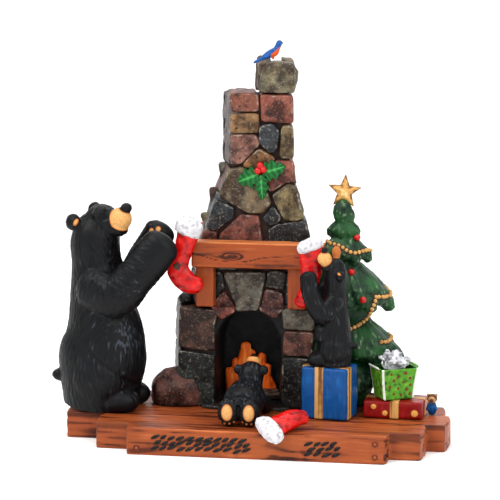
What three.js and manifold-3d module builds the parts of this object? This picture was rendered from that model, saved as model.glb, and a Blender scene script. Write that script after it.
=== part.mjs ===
// A painted cast-resin Christmas group: three black bears round a stone fireplace, on a deck of planks.
// Millimetres, +Z up. The front faces -Y, and X runs to the right as it is looked at from the front.
import * as THREE from 'three';
import { mergeVertices } from 'three/addons/utils/BufferGeometryUtils.js';
import Module from 'manifold-3d';

const wasm = await Module();
wasm.setup();

// Driving dimensions

const JOINT = 0.3; // glue gap between two castings that touch

const DECK = { left: -107, length: 215, front: -43, thick: 15, edge: 1.6, overlap: 0.8 };
// Boards of the deck from the front: how far the ends stand in from the longest board's, and the width
const BOARDS = [
  { inLeft: 42, inRight: 29, width: 12 },
  { inLeft: 22, inRight: 11, width: 22 },
  { inLeft: 0, inRight: 0, width: 25 },
  { inLeft: 4, inRight: 5, width: 22 },
  { inLeft: 23, inRight: 16, width: 16 },
];
const NAIL = { radius: 2.2, proud: 0.5, fromEnd: 7, fromEdge: 3.8, sides: 8 };

const HEARTH = { left: -33, right: 18, front: 10, thick: 1.4 };
const FIREBOX = { centre: -7.2, width: 37, spring: 34, back: 43 };
const CHIMNEY = {
  jambHeight: 57,
  lintelHeight: 35,
  shoulderHeight: 43,
  stackHeight: 40.5,
  capHeight: 19.5,
  back: 51,
  mortarDepth: 2,
  mortarWidth: 1.5,
};
const FLUE = { width: 11, depth: 12, deep: 4 };
const MANTEL = { left: -38, right: 36.5, height: 15, front: 8, back: 19.2, edge: 0.9 };
const POST = { width: 10.5, proud: 8, fromLeft: 2, fromRight: 10 };

const BIG_BEAR = { height: 114, reach: 52, y: 6.5 };
const SMALL_BEAR = { height: 66, aside: 3.8, back: -1.4 };
const CUB = { length: 46, x: -3.4, y: -12.5 };

const TREE = { x: 44.6, y: 34, height: 116, radius: 31, flat: 0.62, trunk: 6 };
const STAR = { radius: 9.4, waist: 0.46, thick: 4.2, lean: -4 };
const BALL = { radius: 1.9 };

const BLUE_GIFT = { width: 26, depth: 19.4, height: 29, x: 41.2, y: 2.2, turn: -12 };
const RED_GIFT = { width: 32.4, depth: 22, height: 9.8, x: 76.8, y: 12, turn: -1.5 };
const GREEN_GIFT = { width: 18.6, depth: 15, height: 17.4, flare: 1.6, recess: 3, wall: 1.2, turn: 14 };
const RIBBON = { wide: 5, proud: 0.4 };
const BOW = { radius: 8.6, loops: 6 };

const STOCKING = { before: 3.4 };
const BIRD = { length: 18, rim: 2.4 };
const HOLLY = { leaf: 13.6, thick: 1.1, berry: 1.9, x: -1, up: 40 };
const TOY = { height: 11.6 };

// Levels that other pieces stand on

const standing = DECK.thick + JOINT;
const ledge = standing + CHIMNEY.jambHeight;
const lintelTop = ledge + CHIMNEY.lintelHeight;
const shoulderTop = lintelTop + CHIMNEY.shoulderHeight;
const stackTop = shoulderTop + CHIMNEY.stackHeight;
const capTop = stackTop + CHIMNEY.capHeight;
const beamBottom = lintelTop - 12;
const beamTop = beamBottom + MANTEL.height;

// Tools for solids

const vector = (p) => new THREE.Vector3(...p);
const unionOf = (solids) => wasm.Manifold.union(solids);

function solidOf(geometry, matrix = new THREE.Matrix4(), weld = 1e-4) {
  const bare = geometry.clone().applyMatrix4(matrix);
  bare.deleteAttribute('normal');
  bare.deleteAttribute('uv');
  const merged = mergeVertices(bare, weld);
  return new wasm.Manifold(new wasm.Mesh({
    numProp: 3,
    vertProperties: merged.attributes.position.array,
    triVerts: new Uint32Array(merged.index.array),
  }));
}

function geometryOf(solid) {
  const made = solid.getMesh();
  const geometry = new THREE.BufferGeometry();
  geometry.setAttribute('position', new THREE.BufferAttribute(made.vertProperties, made.numProp));
  geometry.setIndex(new THREE.BufferAttribute(made.triVerts, 1));
  return geometry;
}

// The main body of a solid, welded at a micron, without the specks that its cuts and joins leave.
const SPECK = 0.5;
function mainBody(name, solid) {
  const bodies = solidOf(geometryOf(solid), undefined, 1e-3).decompose();
  bodies.sort((a, b) => b.volume() - a.volume());
  const loose = bodies.slice(1).find((body) => Math.abs(body.volume()) > SPECK);
  if (loose) throw new Error(`${name}: a body of ${loose.volume().toFixed(1)} cubic mm is loose`);
  return bodies[0];
}

function placed(solid, { at = [0, 0, 0], turn = 0, scale = 1 }) {
  return solid.scale([scale, scale, scale]).rotate([0, 0, turn]).translate(at);
}

function box(low, high) {
  const size = high.map((value, i) => value - low[i]);
  const centre = high.map((value, i) => (value + low[i]) / 2);
  return solidOf(new THREE.BoxGeometry(...size), new THREE.Matrix4().setPosition(...centre));
}

// tilt turns the ellipsoid about X, Y and Z, in degrees.
function ellipsoid(centre, radii, { tilt = [0, 0, 0], around = 7, down = 5 } = {}) {
  const angles = tilt.map((degrees) => THREE.MathUtils.degToRad(degrees));
  const turn = new THREE.Quaternion().setFromEuler(new THREE.Euler(...angles));
  const matrix = new THREE.Matrix4().compose(vector(centre), turn, vector(radii));
  return solidOf(new THREE.SphereGeometry(1, around, down), matrix);
}

function ball(radius, centre) {
  return solidOf(new THREE.IcosahedronGeometry(radius, 0), new THREE.Matrix4().setPosition(...centre));
}

// A closed skin over rings that all have the same number of points, with a point at each end.
function skin(rings, first, last) {
  const sides = rings[0].length;
  const points = [...rings.flat(), first, last];
  const faces = [];
  for (let i = 0; i < rings.length - 1; i++) {
    for (let j = 0; j < sides; j++) {
      const next = (j + 1) % sides;
      const low = i * sides;
      const high = low + sides;
      faces.push(low + j, low + next, high + next, low + j, high + next, high + j);
    }
  }
  const end = (rings.length - 1) * sides;
  for (let j = 0; j < sides; j++) {
    const next = (j + 1) % sides;
    faces.push(points.length - 2, next, j);
    faces.push(points.length - 1, end + j, end + next);
  }
  const geometry = new THREE.BufferGeometry().setFromPoints(points).setIndex(faces);
  return solidOf(geometry);
}

// A limb or trunk through stations [x, y, z, half width, half depth], with a dome at each end unless it
// is flat. deep is the direction of the half depth. Every second line of the skin is sunk by flute.
function limb(
  stations,
  { sides = 10, steps = 1, deep = [0, 1, 0], domes = [1, 1], flute = 0, grow = 0 } = {},
) {
  const line = new THREE.CatmullRomCurve3(stations.map((s) => vector(s)));
  const halves = stations.map((s) => new THREE.Vector3(s[3] + grow, s[4] + grow, 0));
  const sizes = new THREE.CatmullRomCurve3(halves);
  const depth = vector(deep);
  const rings = [];
  const ring = (t, shrink, shift) => {
    const along = line.getTangent(t);
    const b = depth.clone().addScaledVector(along, -depth.dot(along)).normalize();
    const n = b.clone().cross(along);
    const size = sizes.getPoint(t);
    const centre = line.getPoint(t).addScaledVector(along, shift);
    rings.push(Array.from({ length: sides }, (_, j) => {
      const angle = (2 * Math.PI * j) / sides;
      const carved = shrink * (j % 2 ? 1 - flute : 1);
      return centre.clone()
        .addScaledVector(n, size.x * carved * Math.cos(angle))
        .addScaledVector(b, size.y * carved * Math.sin(angle));
    }));
  };
  const reach = (t, dome) => dome * Math.min(sizes.getPoint(t).x, sizes.getPoint(t).y);
  const turned = Math.SQRT1_2;
  if (domes[0]) ring(0, turned, -reach(0, domes[0]) * turned);
  const count = steps * (stations.length - 1);
  for (let i = 0; i <= count; i++) ring(i / count, 1, 0);
  if (domes[1]) ring(1, turned, reach(1, domes[1]) * turned);
  const first = line.getPoint(0).addScaledVector(line.getTangent(0), -reach(0, domes[0]));
  const last = line.getPoint(1).addScaledVector(line.getTangent(1), reach(1, domes[1]));
  return skin(rings, first, last);
}

// A block between two level rectangles { left, right, front, back, z }, grown or shrunk sideways by grow.
// skew moves the two back corners to the left.
const SKEW = [9, 6];
function corners({ left, right, front, back, z, skew = SKEW }, grow = 0) {
  return [
    [left - grow, front - grow, z],
    [right + grow, front - grow, z],
    [right - skew[1] + grow, back + grow, z],
    [left - skew[0] - grow, back + grow, z],
  ];
}

function block(bottom, top, grow = 0) {
  const rings = [corners(bottom, grow), corners(top, grow)].map((ring) => ring.map(vector));
  const middle = (ring) => ring.reduce((a, p) => a.add(p), new THREE.Vector3()).divideScalar(ring.length);
  return skin(rings, middle(rings[0]), middle(rings[1]));
}

// Noise that is the same on every run, from 0 to 1.
const scatter = (seed) => {
  const value = Math.sin(seed * 127.1 + 11.7) * 43758.5453;
  return value - Math.floor(value);
};

// The deck, one casting

const boardLeft = ({ inLeft }) => DECK.left + inLeft;
const boardRight = ({ inRight }) => DECK.left + DECK.length - inRight;

function board(shape, index) {
  const bulge = 1.6;
  const [left, right] = [boardLeft(shape), boardRight(shape)];
  const front = BOARDS.slice(0, index).reduce((y, { width }) => y + width, DECK.front);
  const back = front + shape.width;
  const y = (share) => front + share * (back - front);
  const outline = new THREE.Shape([
    [left + bulge, y(0)], [right - bulge, y(0)], [right - 0.4, y(0.25)], [right, y(0.7)],
    [right - bulge, y(1)], [left + bulge, y(1)], [left, y(0.75)], [left + 0.5, y(0.3)],
  ].map((p) => new THREE.Vector2(...p)));
  const geometry = new THREE.ExtrudeGeometry(outline, {
    depth: DECK.thick - 2 * DECK.edge,
    bevelThickness: DECK.edge,
    bevelSize: DECK.edge,
    bevelOffset: -DECK.edge + DECK.overlap / 2,
    bevelSegments: 1,
  });
  return solidOf(geometry, new THREE.Matrix4().setPosition(0, 0, DECK.edge));
}

function nailHead(x, z) {
  const front = DECK.front - DECK.overlap / 2;
  const geometry = new THREE.CylinderGeometry(NAIL.radius * 0.8, NAIL.radius, 2 * NAIL.proud, NAIL.sides);
  const facing = new THREE.Matrix4().makeRotationX(Math.PI / 2).setPosition(x, front, z);
  return solidOf(geometry, facing);
}

function deck() {
  const name = BOARDS[0];
  const low = NAIL.fromEdge;
  const high = DECK.thick - NAIL.fromEdge;
  const nails = [
    nailHead(boardLeft(name) + NAIL.fromEnd, low),
    nailHead(boardRight(name) - NAIL.fromEnd, low),
    nailHead(boardRight(name) - NAIL.fromEnd, high),
  ];
  return unionOf([...BOARDS.map(board), ...nails]);
}

// The fireplace and chimney: courses of stones on a core, one casting

const outline = {
  foot: { z: standing, left: -47, right: 27, front: 15, back: CHIMNEY.back },
  ledge: { z: ledge, left: -45.5, right: 31, front: 15, back: CHIMNEY.back },
  lintelFoot: { z: ledge, left: -38.5, right: 28, front: MANTEL.back + JOINT, back: CHIMNEY.back },
  lintelTop: { z: lintelTop, left: -35, right: 27, front: MANTEL.back + JOINT, back: CHIMNEY.back },
  shoulderFoot: { z: lintelTop, left: -33.5, right: 27.8, front: 21.5, back: CHIMNEY.back - 1 },
  shoulderTop: { z: shoulderTop, left: -17.8, right: 18.4, front: 23.5, back: CHIMNEY.back - 2 },
  stackFoot: { z: shoulderTop, left: -18.4, right: 17, front: 24, back: CHIMNEY.back - 2 },
  stackTop: { z: stackTop, left: -18.4, right: 16.8, front: 24, back: CHIMNEY.back - 2 },
  capFoot: { z: stackTop, left: -2.2, right: 17.8, front: 24.4, back: CHIMNEY.back - 5, skew: [5, 5] },
  capTop: { z: capTop, left: -1.8, right: 18.2, front: 25.6, back: CHIMNEY.back - 6, skew: [5, 5] },
};
// Front stones as centres, in shares of the tier's width and height from its lower left
const TIERS = [
  {
    foot: outline.foot, top: outline.ledge, courses: 2,
    front: [
      [0.11, 0.82], [0.1, 0.4], [0.1, 0.06], [0.36, 0.95], [0.62, 0.95], [0.87, 0.92], [0.88, 0.68],
      [0.82, 0.29],
    ],
  },
  {
    foot: outline.lintelFoot, top: outline.lintelTop, courses: 1,
    front: [[0.04, 0.2], [0.24, 0.13], [0.19, 0.5], [0.44, 0.28], [0.63, 0.14], [0.69, 0.52], [0.9, 0.2],
      [0.06, 0.85], [0.44, 0.92], [0.92, 0.85]],
  },
  {
    foot: outline.shoulderFoot, top: outline.shoulderTop, courses: 2,
    front: [[0.03, 0.05], [0.07, 0.37], [0.34, 0.13], [0.64, 0.33], [0.86, 0.1], [0.33, 0.66], [0.86, 0.52],
      [0.79, 0.9], [0.42, 1.02], [0.02, 0.9]],
  },
  {
    foot: outline.stackFoot, top: outline.stackTop, courses: 2,
    front: [[0.2, 0.89], [0.22, 0.58], [0.2, 0.22], [0.73, 0.8], [0.6, 0.37], [0.92, 0.34]],
  },
];

// Keeps the part of a flat polygon where p . normal <= limit.
function clip(polygon, normal, limit) {
  const side = (p) => p.dot(normal) - limit;
  return polygon.flatMap((p, i) => {
    const q = polygon[(i + 1) % polygon.length];
    const a = side(p);
    const b = side(q);
    const kept = a <= 0 ? [p] : [];
    if (a * b < 0) kept.push(p.clone().lerp(q, a / (a - b)));
    return kept;
  });
}

// The stone round centre i: the part of the face nearer to it than to any other centre, less half a joint.
function cell(face, centres, i) {
  const half = CHIMNEY.mortarWidth / 2;
  let polygon = face;
  for (let j = 0; j < face.length; j++) {
    const edge = face[(j + 1) % face.length].clone().sub(face[j]).normalize();
    const outwards = new THREE.Vector2(edge.y, -edge.x);
    polygon = clip(polygon, outwards, face[j].dot(outwards) - half);
  }
  centres.forEach((other, j) => {
    if (j === i) return;
    const towards = other.clone().sub(centres[i]).normalize();
    polygon = clip(polygon, towards, other.clone().add(centres[i]).dot(towards) / 2 - half);
  });
  return polygon;
}

// A stone on a face: straight flanks that rise from the core, then a rounded crown unless it is plain.
function stone(polygon, place, plain) {
  const centre = polygon.reduce((a, p) => a.add(p), new THREE.Vector2()).divideScalar(polygon.length);
  const ring = (share, out) => polygon.map((p) => place(centre.clone().lerp(p, share), out));
  const sunk = -CHIMNEY.mortarDepth - 1;
  const crown = -0.32 * CHIMNEY.mortarDepth;
  const rings = plain ? [ring(1, sunk), ring(0.86, 0)] : [ring(1, sunk), ring(1, crown), ring(0.76, 0)];
  return skin(rings, place(centre, sunk), place(centre, 0));
}

// Stones over the face with corners a, b, c, d, anticlockwise from its lower left as seen from outside.
function stones([a, b, c, d], shares, plain) {
  const across = b.clone().sub(a).normalize();
  const out = across.clone().cross(d.clone().sub(a)).normalize();
  const up = out.clone().cross(across);
  const flat = (p) => new THREE.Vector2(p.clone().sub(a).dot(across), p.clone().sub(a).dot(up));
  const place = (p, height) => a.clone()
    .addScaledVector(across, p.x).addScaledVector(up, p.y).addScaledVector(out, height);
  const face = [a, b, c, d].map(flat);
  const centres = shares.map(([u, v]) => {
    const low = face[0].clone().lerp(face[1], u);
    return low.lerp(face[3].clone().lerp(face[2], u), v);
  });
  return centres.map((_, i) => cell(face, centres, i)).filter((p) => p.length > 2)
    .map((p) => stone(p, place, plain));
}

// Centres in level courses, with the joints of one course between those of the next.
function coursed(rows, columns, seed) {
  const shares = [];
  for (let row = 0; row < rows; row++) {
    const count = row % 2 ? columns - 1 || 1 : columns;
    for (let column = 0; column < count; column++) {
      const wander = scatter(seed + row * 7 + column * 3) - 0.5;
      shares.push([(column + 0.5 + 0.25 * wander) / count, (row + 0.5 + 0.3 * wander) / rows]);
    }
  }
  return shares;
}

function tier({ foot, top, courses, front }, index) {
  const low = corners(foot).map(vector);
  const high = corners(top).map(vector);
  const face = (i) => {
    const j = (i + 1) % 4;
    return [low[i], low[j], high[j], high[i]];
  };
  return [
    block(foot, top, -CHIMNEY.mortarDepth),
    ...stones(face(0), front, false),
    ...[1, 2, 3].flatMap((side) => stones(face(side), coursed(courses, 2, index + 4 * side), true)),
  ];
}

// A boulder in one corner of the hearth, as a rough rock with flat facets.
function boulder(centre, radii) {
  return solidOf(
    new THREE.IcosahedronGeometry(1, 1),
    new THREE.Matrix4().compose(vector(centre), new THREE.Quaternion(), vector(radii)),
  );
}

function archway() {
  const half = FIREBOX.width / 2;
  const shape = new THREE.Shape();
  shape.moveTo(-half, 0);
  shape.lineTo(half, 0);
  shape.lineTo(half, FIREBOX.spring);
  shape.absarc(0, FIREBOX.spring, half, 0, Math.PI, false);
  shape.closePath();
  const front = outline.foot.front - 5;
  const depth = FIREBOX.back - front;
  const geometry = new THREE.ExtrudeGeometry(shape, { depth, curveSegments: 10, bevelEnabled: false });
  const facing = new THREE.Matrix4().makeRotationX(Math.PI / 2);
  facing.setPosition(FIREBOX.centre, FIREBOX.back, standing + HEARTH.thick);
  return solidOf(geometry, facing);
}

function fireplace() {
  const top = standing + HEARTH.thick;
  const hearth = box([HEARTH.left, HEARTH.front, standing], [HEARTH.right, outline.foot.front + 4, top]);
  const floor = box([HEARTH.left, outline.foot.front, standing], [HEARTH.right, FIREBOX.back + 1, top]);
  const { capFoot, capTop: cap } = outline;
  const belly = { ...capFoot, z: (capFoot.z * 2 + cap.z) / 3 };
  const capstone = unionOf([
    block({ ...capFoot, z: capFoot.z - 1.5 }, belly, -1.2),
    block(belly, { ...cap, z: cap.z - 2 }, 0.4),
    block({ ...cap, z: cap.z - 2.2 }, cap, -1.2),
  ]);
  const flueCentre = [(cap.left + cap.right) / 2 - 1, (cap.front + cap.back) / 2 + 1];
  const flue = box(
    [flueCentre[0] - FLUE.width / 2, flueCentre[1] - FLUE.depth / 2, capTop - FLUE.deep],
    [flueCentre[0] + FLUE.width / 2, flueCentre[1] + FLUE.depth / 2, capTop + 2],
  );
  const rock = boulder([-49.4, 24.5, standing + 6.6], [14.4, 13.6, 14.2]).trimByPlane([0, 0, 1], standing);
  const walls = unionOf([...TIERS.flatMap(tier), rock]);
  return unionOf([walls.subtract(archway()), hearth, floor, fire(), capstone, holly()]).subtract(flue);
}

// What a piece beside the chimney keeps clear of.
const chimneyClearance = unionOf(TIERS.map(({ foot, top }) => block(foot, top, 3 * JOINT)));

// The fire on its log, in relief on the back of the firebox

function fire() {
  const floor = standing + HEARTH.thick - 0.5;
  const depth = FIREBOX.back - 1;
  // Tongues of flame: foot across, foot height, lean to the tip, height of the tip, half width
  const tongues = [
    [-14, 0, 1.5, 33, 5.4], [-20.5, 0, -1, 17, 4.4], [-5.5, 0, 2.5, 27, 5.4], [1.6, 0, -1.5, 16, 5],
  ];
  const flames = tongues.map(([x, foot, lean, height, half]) => limb([
    [x, depth, floor + foot, half * 1.2, 3.2],
    [x + lean * 0.7, depth, floor + height * 0.75, half * 0.62, 2.2],
    [x + lean, depth, floor + height - 1, half * 0.2, 0.8],
  ], { sides: 6, domes: [0, 1] }));
  const log = limb([
    [FIREBOX.centre - 14, depth - 4, floor + 1.8, 2.8, 2.8],
    [FIREBOX.centre + 14, depth - 3, floor + 1.8, 2.6, 2.6],
  ], { sides: 8, domes: [0, 0], deep: [0, 0, 1] });
  return unionOf([...flames, log]).trimByPlane([0, 0, 1], floor);
}

// The mantel: a beam on two posts, one casting that hangs on the stones' ledge

function roundedBar(low, high, edge) {
  const size = high.map((value, i) => value - low[i]);
  const corners = [[0, 0], [size[0], 0], [size[0], size[2]], [0, size[2]]];
  const shape = new THREE.Shape(corners.map((p) => new THREE.Vector2(...p)));
  const geometry = new THREE.ExtrudeGeometry(shape, {
    depth: size[1] - 2 * edge, bevelThickness: edge, bevelSize: edge, bevelOffset: -edge, bevelSegments: 1,
  });
  const facing = new THREE.Matrix4().makeRotationX(Math.PI / 2);
  return solidOf(geometry, facing.setPosition(low[0], high[1] - edge, low[2]));
}

const posts = [
  [MANTEL.left + POST.fromLeft, MANTEL.left + POST.fromLeft + POST.width],
  [MANTEL.right - POST.fromRight - POST.width, MANTEL.right - POST.fromRight],
];

function mantel() {
  const beam = roundedBar(
    [MANTEL.left, MANTEL.front, beamBottom],
    [MANTEL.right, MANTEL.back, beamTop],
    MANTEL.edge,
  );
  const legs = posts.map(([left, right]) => roundedBar(
    [left, MANTEL.back - POST.proud, ledge + JOINT], [right, MANTEL.back, beamBottom + 2], MANTEL.edge,
  ));
  return unionOf([beam, ...legs]);
}

const mantelClearance = unionOf([
  box(
    [MANTEL.left - JOINT, MANTEL.front - JOINT, beamBottom - JOINT],
    [MANTEL.right + JOINT, MANTEL.back, beamTop + JOINT],
  ),
  ...posts.map(([left, right]) => box(
    [left - JOINT, MANTEL.back - POST.proud - JOINT, ledge], [right + JOINT, MANTEL.back, beamBottom],
  )),
]);

// Bears. Each is drawn in hundredths of its own height or length, from the middle of what it stands on.

const BIG_SHAPE = {
  trunk: [
    [-1.1, 0, 0, 16.9, 16.4], [0.4, 0, 11, 19.7, 18], [1.6, 0, 25, 21.8, 18.8], [2.8, 0, 37.3, 19.4, 17],
    [1.6, 0, 49.5, 16.4, 14.8], [0.4, 0, 61.7, 14.4, 13.5], [-1, 0, 72.2, 12.4, 12], [-1.7, 0, 81, 12.1, 12],
    [-0.4, 0, 87.5, 11.4, 11.2], [1.7, 0, 92, 8.8, 8.8],
  ],
  limbs: [
    [[-1.7, -9.5, 61, 10.5, 7], [11, -12.5, 57.5, 11, 7], [21, -12.8, 67, 9.6, 6.4], [28, -12, 75.4, 8.3, 5.6],
      [31.8, -11, 80.4, 8, 5]],
    [[0, 8, 62, 10, 7], [13.5, 10.5, 61, 9.6, 6.4], [21.5, 9.8, 73, 8.4, 5.8], [28, 8.2, 85, 7.2, 4.8]],
  ],
  lumps: [
    { at: [11.6, -9.6, 5.4], radii: [10.8, 7.8, 7.2] },
    { at: [13, 9.4, 5.4], radii: [10.6, 7.6, 7.2] },
    { at: [1, -9.5, 17], radii: [15, 11, 17] },
    { at: [1, 9.5, 17], radii: [15, 11, 17] },
    { at: [-20.5, -2.5, 15.4], radii: [4.4, 3.6, 3.6] },
    { at: [10.2, -4.4, 94], radii: [5.8, 5.6, 5.6] },
    { at: [8, -3, 89.2], radii: [5.6, 5.6, 4.4] },
    { at: [12.9, -5.4, 98.8], radii: [2.6, 2.8, 2.3] },
    { at: [-10.8, -6.8, 90.2], radii: [3.9, 2.8, 4.2], tilt: [0, 20, -24] },
    { at: [-1.4, 7.6, 98.2], radii: [3.9, 2.8, 4], tilt: [0, 20, -24] },
  ],
};
const SMALL_SHAPE = {
  trunk: [
    [0, 0, 0, 15.2, 12.6], [0.3, 0, 11.7, 16.4, 13.4], [0.3, 0, 25.3, 15.5, 12.8], [1.5, 0, 40.5, 12.9, 12],
    [1.2, 0, 55.6, 10.3, 11], [0.3, 0, 67.7, 9.4, 9.8], [-0.8, 0, 79.8, 10.6, 10.6], [-1.8, -1, 88, 8.3, 8.4],
  ],
  limbs: [
    [
      [1.5, -8, 55.6, 7.6, 5.5], [-9.5, -12.2, 44.5, 8, 5.5], [-17, -12.6, 60, 7.4, 5.3],
      [-19.2, -11.6, 74.5, 6.8, 5],
    ],
    [[-1, 7, 54, 6.6, 5], [-8, 9.6, 46, 6.6, 5], [-13, 8.2, 64, 5.8, 4.6]],
  ],
  lumps: [
    { at: [-14.4, -6.6, 5.3], radii: [9.2, 6.6, 6.4] },
    { at: [-14.4, 6.6, 5.3], radii: [9.2, 6.6, 6.4] },
    { at: [1, -5.6, 13], radii: [14.4, 9.4, 14.4] },
    { at: [1, 5.6, 13], radii: [14.4, 9.4, 14.4] },
    { at: [18, -1.5, 17], radii: [4.2, 3.6, 3.6] },
    { at: [-7.4, -7.4, 91], radii: [6, 6, 5.8] },
    { at: [-12, -9.8, 95.2], radii: [2.7, 2.7, 2.4] },
    { at: [2, 6, 92.8], radii: [4.6, 3, 5.2], tilt: [0, -10, 20] },
    { at: [7, -8.6, 80], radii: [4.4, 3, 4.4], tilt: [0, -10, 30] },
  ],
};
const CUB_SHAPE = {
  trunk: [
    [0, -26, 19, 15, 15], [0, -17, 23, 23, 22], [0, 3, 25, 24, 23], [0, 20, 28, 19, 19], [0.4, 32, 38, 15, 15],
    [0.8, 36, 48, 16, 15],
  ],
  deep: [0, 0, 1],
  limbs: [
    [[-17, 16, 20, 8.5, 8], [-21, 30, 10, 8, 7.5], [-17, 40, 7, 7.4, 6.6]],
    [[17, 16, 20, 8.5, 8], [21, 30, 10, 8, 7.5], [17, 40, 7, 7.4, 6.6]],
  ],
  lumps: [
    { at: [-13, -42, 16.6], radii: [13, 9.5, 17] },
    { at: [12.4, -42, 16.6], radii: [13, 9.5, 17] },
    { at: [-1.5, -39, 29], radii: [4, 4, 4] },
    { at: [1.8, 44, 60], radii: [8.6, 8.4, 8.6] },
    { at: [-14.6, 34, 53], radii: [5.6, 4.4, 6] },
    { at: [16.4, 34, 53], radii: [5.6, 4.4, 6] },
  ],
};

function bear(shape, height, { trunkSides, limbSides, grow = 0 }) {
  const unit = height / 100;
  const wide = grow / unit;
  const trunk = limb(shape.trunk, {
    sides: trunkSides, flute: 0.035, domes: [shape.deep ? 1 : 0, 1], deep: shape.deep, grow: wide,
  });
  const arms = shape.limbs.map((stations) => limb(stations, { sides: limbSides, grow: wide }));
  const lumps = shape.lumps.map(({ at, radii, tilt }) => ellipsoid(
    at, radii.map((r) => r + wide), { tilt },
  ));
  return unionOf([trunk, ...arms, ...lumps]).trimByPlane([0, 0, 1], 0).scale([unit, unit, unit]);
}

const bigBear = (grow) => bear(BIG_SHAPE, BIG_BEAR.height, { trunkSides: 16, limbSides: 8, grow })
  .translate([MANTEL.left - BIG_BEAR.reach, BIG_BEAR.y, standing]);
const smallBear = (grow) => bear(SMALL_SHAPE, SMALL_BEAR.height, { trunkSides: 12, limbSides: 8, grow })
  .translate([
    BLUE_GIFT.x + SMALL_BEAR.aside,
    BLUE_GIFT.y + SMALL_BEAR.back,
    standing + BLUE_GIFT.height + JOINT,
  ]);
const cub = () => bear(CUB_SHAPE, CUB.length, { trunkSides: 12, limbSides: 6 })
  .translate([CUB.x, CUB.y, standing]);

// Stockings, drawn in hundredths of their length from the middle of the cuff's mouth

function stocking({ path, cuff, length, deep }, at) {
  const unit = length / 100;
  const leg = limb(path, { deep, domes: [0, 0.9] });
  const band = limb(cuff, { deep, sides: 12, domes: [0.35, 0.35] });
  return unionOf([leg, band]).scale([unit, unit, unit]).translate(at);
}

const LEFT_STOCKING = {
  length: 40,
  path: [
    [0, 0, 0, 17, 10], [-5, 0, -24, 15, 10], [-13, 0, -50, 13, 9.5], [-18, 0, -70, 15.5, 10],
    [-6, 0, -86, 15, 10], [9, 0, -91, 12, 9],
  ],
  cuff: [[1.5, 0, 0, 18.5, 12.5], [-5.5, 0, -17, 19, 12.5]],
};
const RIGHT_STOCKING = {
  length: 36,
  path: [
    [0, 0, 0, 19, 10], [2, 0, -25, 18, 10], [1.5, 0, -52, 15, 9.5], [-5, 0, -76, 12, 9],
    [-14, 0, -92, 11, 9],
  ],
  cuff: [[0, 0, 2, 22.5, 13], [1.2, 0, -11, 23, 13]],
};
const FLOOR_STOCKING = {
  length: 29,
  x: 15,
  before: 2,
  above: 1.6,
  path: [[0, 0, 0, 22, 16], [22, 20, 10, 20, 16], [42, 38, 17, 19, 15], [55, 50, 17, 15, 13]],
  cuff: [[-5, -6, -1, 34, 17], [9, 7, 5, 31, 16]],
  deep: [-0.14, 0.56, -0.82],
};

function hungStocking(shape, x, over, hand) {
  const made = stocking(shape, [x, MANTEL.front - STOCKING.before, beamTop + over]);
  return made.subtract(mantelClearance).subtract(hand);
}

function floorStocking() {
  const { x, before, above } = FLOOR_STOCKING;
  const made = stocking(FLOOR_STOCKING, [x, DECK.front - before, DECK.thick + above]);
  const deckClearance = box(
    [DECK.left, DECK.front - DECK.overlap - JOINT, -DECK.thick],
    [DECK.left + DECK.length, -DECK.front, standing],
  );
  return made.subtract(deckClearance);
}

// The tree: drooping tiers of lobed branches round one stem, its back left side cut to the chimney

function branches({ rim, top, radius, shoulder, lobes, phase, droop }) {
  const sides = lobes * 2;
  const ring = (share, height, wave, out) => Array.from({ length: sides }, (_, j) => {
    const angle = (2 * Math.PI * j) / sides + phase;
    const lobe = Math.cos(lobes * (angle - phase));
    const r = share * radius * (1 + out * lobe);
    return new THREE.Vector3(r * Math.cos(angle), r * Math.sin(angle) * TREE.flat, height - wave * lobe);
  });
  const height = top - rim;
  return skin([
    ring(0.86, rim + 0.02 * height, droop, 0.12),
    ring(1, rim + 0.1 * height, droop, 0.16),
    ring(0.72, rim + 0.42 * height, droop * 0.5, 0.13),
    ring(shoulder / radius, top, 0, 0.05),
  ], new THREE.Vector3(0, 0, rim + 0.25 * height), new THREE.Vector3(0, 0, top));
}

// Tiers from the foot: rim height, top height, rim radius and neck radius as shares of the tree's own
const BRANCHES = [
  { rim: 0.13, top: 0.36, radius: 1, shoulder: 0.6, lobes: 8, phase: 0.2 },
  { rim: 0.3, top: 0.5, radius: 0.84, shoulder: 0.5, lobes: 7, phase: 0.75 },
  { rim: 0.455, top: 0.69, radius: 0.82, shoulder: 0.36, lobes: 7, phase: 0.1 },
  { rim: 0.665, top: 0.84, radius: 0.48, shoulder: 0.22, lobes: 6, phase: 0.25 },
  { rim: 0.8, top: 0.93, radius: 0.3, shoulder: 0.14, lobes: 5, phase: 0.5 },
  { rim: 0.89, top: 1, radius: 0.19, shoulder: 0.04, lobes: 5, phase: 1 },
];
// Balls: turn round the stem in degrees from the front, to the right; height and distance as shares
const BALLS = [
  [46, 0.825, 0.34], [22, 0.685, 0.46], [38, 0.545, 0.62], [72, 0.6, 0.66], [135, 0.52, 0.7], [160, 0.3, 0.86],
];

const treeTip = standing + TREE.height;

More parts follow.
